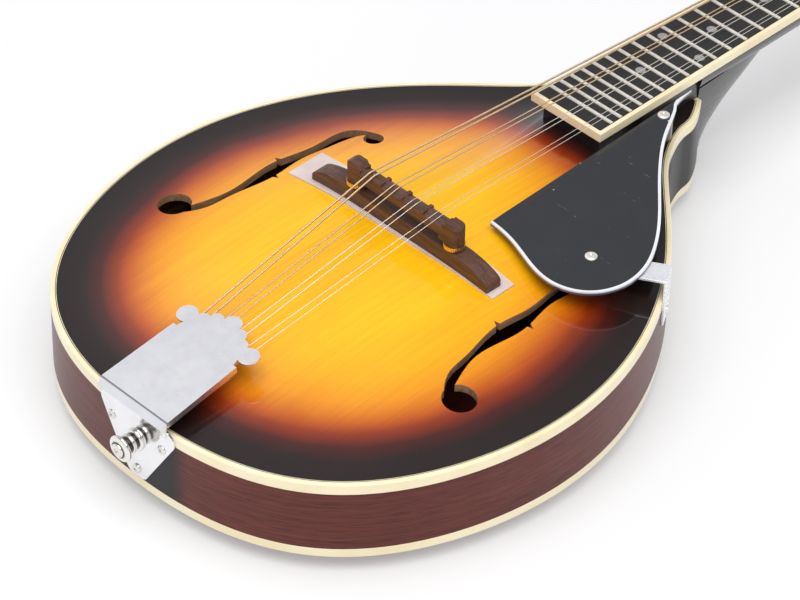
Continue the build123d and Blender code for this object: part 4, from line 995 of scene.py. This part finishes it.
def hook_loop(start, towards, radius):
    """The wire eye over a hook and the turns that lock it, at a string's tail end."""
    tangent = (towards - start) / np.linalg.norm(towards - start)
    side = np.array([1.0, 0, 0])
    angles = np.linspace(math.radians(20), math.radians(340), 32)
    ring = [start + tangent * (EYE_RADIUS * math.cos(a) - EYE_RADIUS) + side * EYE_RADIUS * math.sin(a)
            for a in angles]
    up = np.cross(side, tangent)
    wrap_radius = 1.9 * radius
    turns = np.linspace(0, WRAP_TURNS * 2 * math.pi, 140)
    wrap = [start + tangent * (WRAP_START + t / (2 * math.pi) * 2.1 * radius)
            + wrap_radius * (math.cos(t) * side + math.sin(t) * up) for t in turns]
    return [tube("eye", ring, radius, 8), tube("wrap", wrap, radius * 0.9, 6)]


def make_strings(name, look):
    """Strings that follow the saddle between their hooks and the nut."""
    lines = string_lines(name)
    parts = {"tail": [], "scale": [], "nut": [], "loops": []}
    for (hook, saddle, nut_front, nut_back, post), radius in lines:
        over_nut = np.concatenate([straight(nut_front, nut_back, 4)[:-1], straight(nut_back, post, 12)])
        parts["tail"].append(tube("tail", straight(hook, saddle), radius))
        parts["scale"].append(tube("scale", straight(saddle, nut_front, 50), radius))
        parts["nut"].append(tube("nut", over_nut, radius))
        parts["loops"] += hook_loop(hook, saddle, radius)
    for label, meshes in parts.items():
        mesh = join_meshes(f"{name}_{label}", meshes)
        mesh.materials.append(LOOKS["plain" if label == "loops" else look])
        smooth(mesh, 50)
        piece = bpy.data.objects.new(f"{name}_{label}", mesh)
        bpy.context.scene.collection.objects.link(piece)
        if label == "tail":
            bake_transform(piece)
        elif label == "scale":
            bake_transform(piece)
        else:
            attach(piece, "body")
        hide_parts(name)


make_strings("wound_strings", "wound")
make_strings("plain_strings", "plain")

# ------------------------------------------------------------------ looks of the CAD nodes
SHOWN_NODES = {
    "side": ("back_plate", "rim_bass", "rim_treble"),
    "inner": ("linings", "neck_block", "tail_block", "tone_bars"),
    "neck": ("neck",),
    "black_gloss": ("heel_cap", "headstock_overlay", "pickguard_block"),
    "nickel": ("frets",),
    "pearl": ("fret_markers",),
    "ebony": ("fingerboard",),
    "chrome": ("tuner_bushings",),
    "foam": ("bridge_film",),
    "brass": ("bridge_studs", "thumbwheel_bass", "thumbwheel_treble"),
    "guard": ("pickguard",),
}
NODE_LOOKS = {name: look for look, names in SHOWN_NODES.items() for name in names}
for name, thing in cad.items():
    look = NODE_LOOKS.get(name) or ("chrome" if "knob" in name else "machine")
    thing.data.materials.clear()
    thing.data.materials.append(LOOKS[look])

# ------------------------------------------------------------------ studio
CAMERA_PLACE = Vector((0.95693, -0.99007, 1.20275))
CAMERA_YAW = -0.77219
CAMERA_DIP = 0.71189
CAMERA_ROLL = 0.025225
CAMERA_LENS = 177.68


def add_camera():
    level = math.cos(CAMERA_DIP)
    forward = Vector((math.sin(CAMERA_YAW) * level, math.cos(CAMERA_YAW) * level, -math.sin(CAMERA_DIP)))
    right = forward.cross(Vector((0, 0, 1))).normalized()
    up = right.cross(forward)
    turned_right = math.cos(CAMERA_ROLL) * right + math.sin(CAMERA_ROLL) * up
    turned_up = math.cos(CAMERA_ROLL) * up - math.sin(CAMERA_ROLL) * right
    lens = bpy.data.cameras.new("camera")
    lens.lens = CAMERA_LENS
    lens.sensor_width = 36
    lens.clip_end = 20
    camera = bpy.data.objects.new("camera", lens)
    turn = Matrix((turned_right, turned_up, -forward)).transposed().to_4x4()
    camera.matrix_world = Matrix.Translation(CAMERA_PLACE) @ turn
    bpy.context.scene.collection.objects.link(camera)
    bpy.context.scene.camera = camera


def add_softbox(name, place, aim, size, power):
    light = bpy.data.lights.new(name, "AREA")
    light.shape = "RECTANGLE"
    light.size, light.size_y = size
    light.energy = power
    holder = bpy.data.objects.new(name, light)
    holder.location = place
    holder.rotation_euler = (Vector(aim) - Vector(place)).to_track_quat("-Z", "Y").to_euler()
    bpy.context.scene.collection.objects.link(holder)


def add_floor():
    mesh = bpy.data.meshes.new("floor")
    reach = 4.0
    level = cad_box[0][2] - 0.2 * MM
    corners = [(x * reach, y * reach, level) for x, y in ((-1, -1), (1, -1), (1, 1), (-1, 1))]
    mesh.from_pydata(corners, [], [(0, 1, 2, 3)])
    mat, shader = start_material("floor_white", Roughness=0.7, Emission_Strength=0.30)
    colour = ramp(mat, noise(mat, 3.0, 2.0), [(0.3, (0.56, 0.56, 0.565)), (0.7, (0.58, 0.58, 0.58))])
    connect(mat, colour, shader.inputs["Base Color"])
    shader.inputs["Emission Color"].default_value = (1.0, 0.995, 0.99, 1.0)
    mesh.materials.append(mat)
    floor = bpy.data.objects.new("floor", mesh)
    bpy.context.scene.collection.objects.link(floor)


def add_world():
    """White surroundings low down, dim ones above, and a soft glow from the bass side."""
    world = bpy.data.worlds.new("studio")
    world.use_nodes = True
    background = world.node_tree.nodes["Background"]
    ray = node(world, "ShaderNodeTexCoord").outputs["Generated"]
    height = node(world, "ShaderNodeSeparateXYZ", {"Vector": ray}).outputs["Z"]
    sky = ramp(world, height, [
        (0.0, (0.95, 0.96, 1.0)), (0.30, (0.84, 0.85, 0.89)), (0.52, (0.26, 0.26, 0.28)),
        (0.8, (0.22, 0.22, 0.24)), (1.0, (0.6, 0.6, 0.62)),
    ])
    aim = Vector((-0.70, 0.08, 0.71)).normalized()
    facing = vector_math(world, "DOT_PRODUCT", ray, aim).outputs["Value"]
    glow = ramp(world, facing, [
        (0.82, (0, 0, 0)), (0.92, (0.15, 0.15, 0.16)), (0.985, (0.74, 0.745, 0.76)),
    ], True)
    connect(world, mix(world, 1.0, sky, glow, "ADD"), background.inputs["Color"])
    bpy.context.scene.world = world


add_camera()
add_floor()
add_world()
add_softbox("overhead", (0.7, -0.7, 2.5), (0.7, -0.7, 0), (3.0, 3.0), 85)
bpy.context.scene.view_settings.view_transform = "Standard"
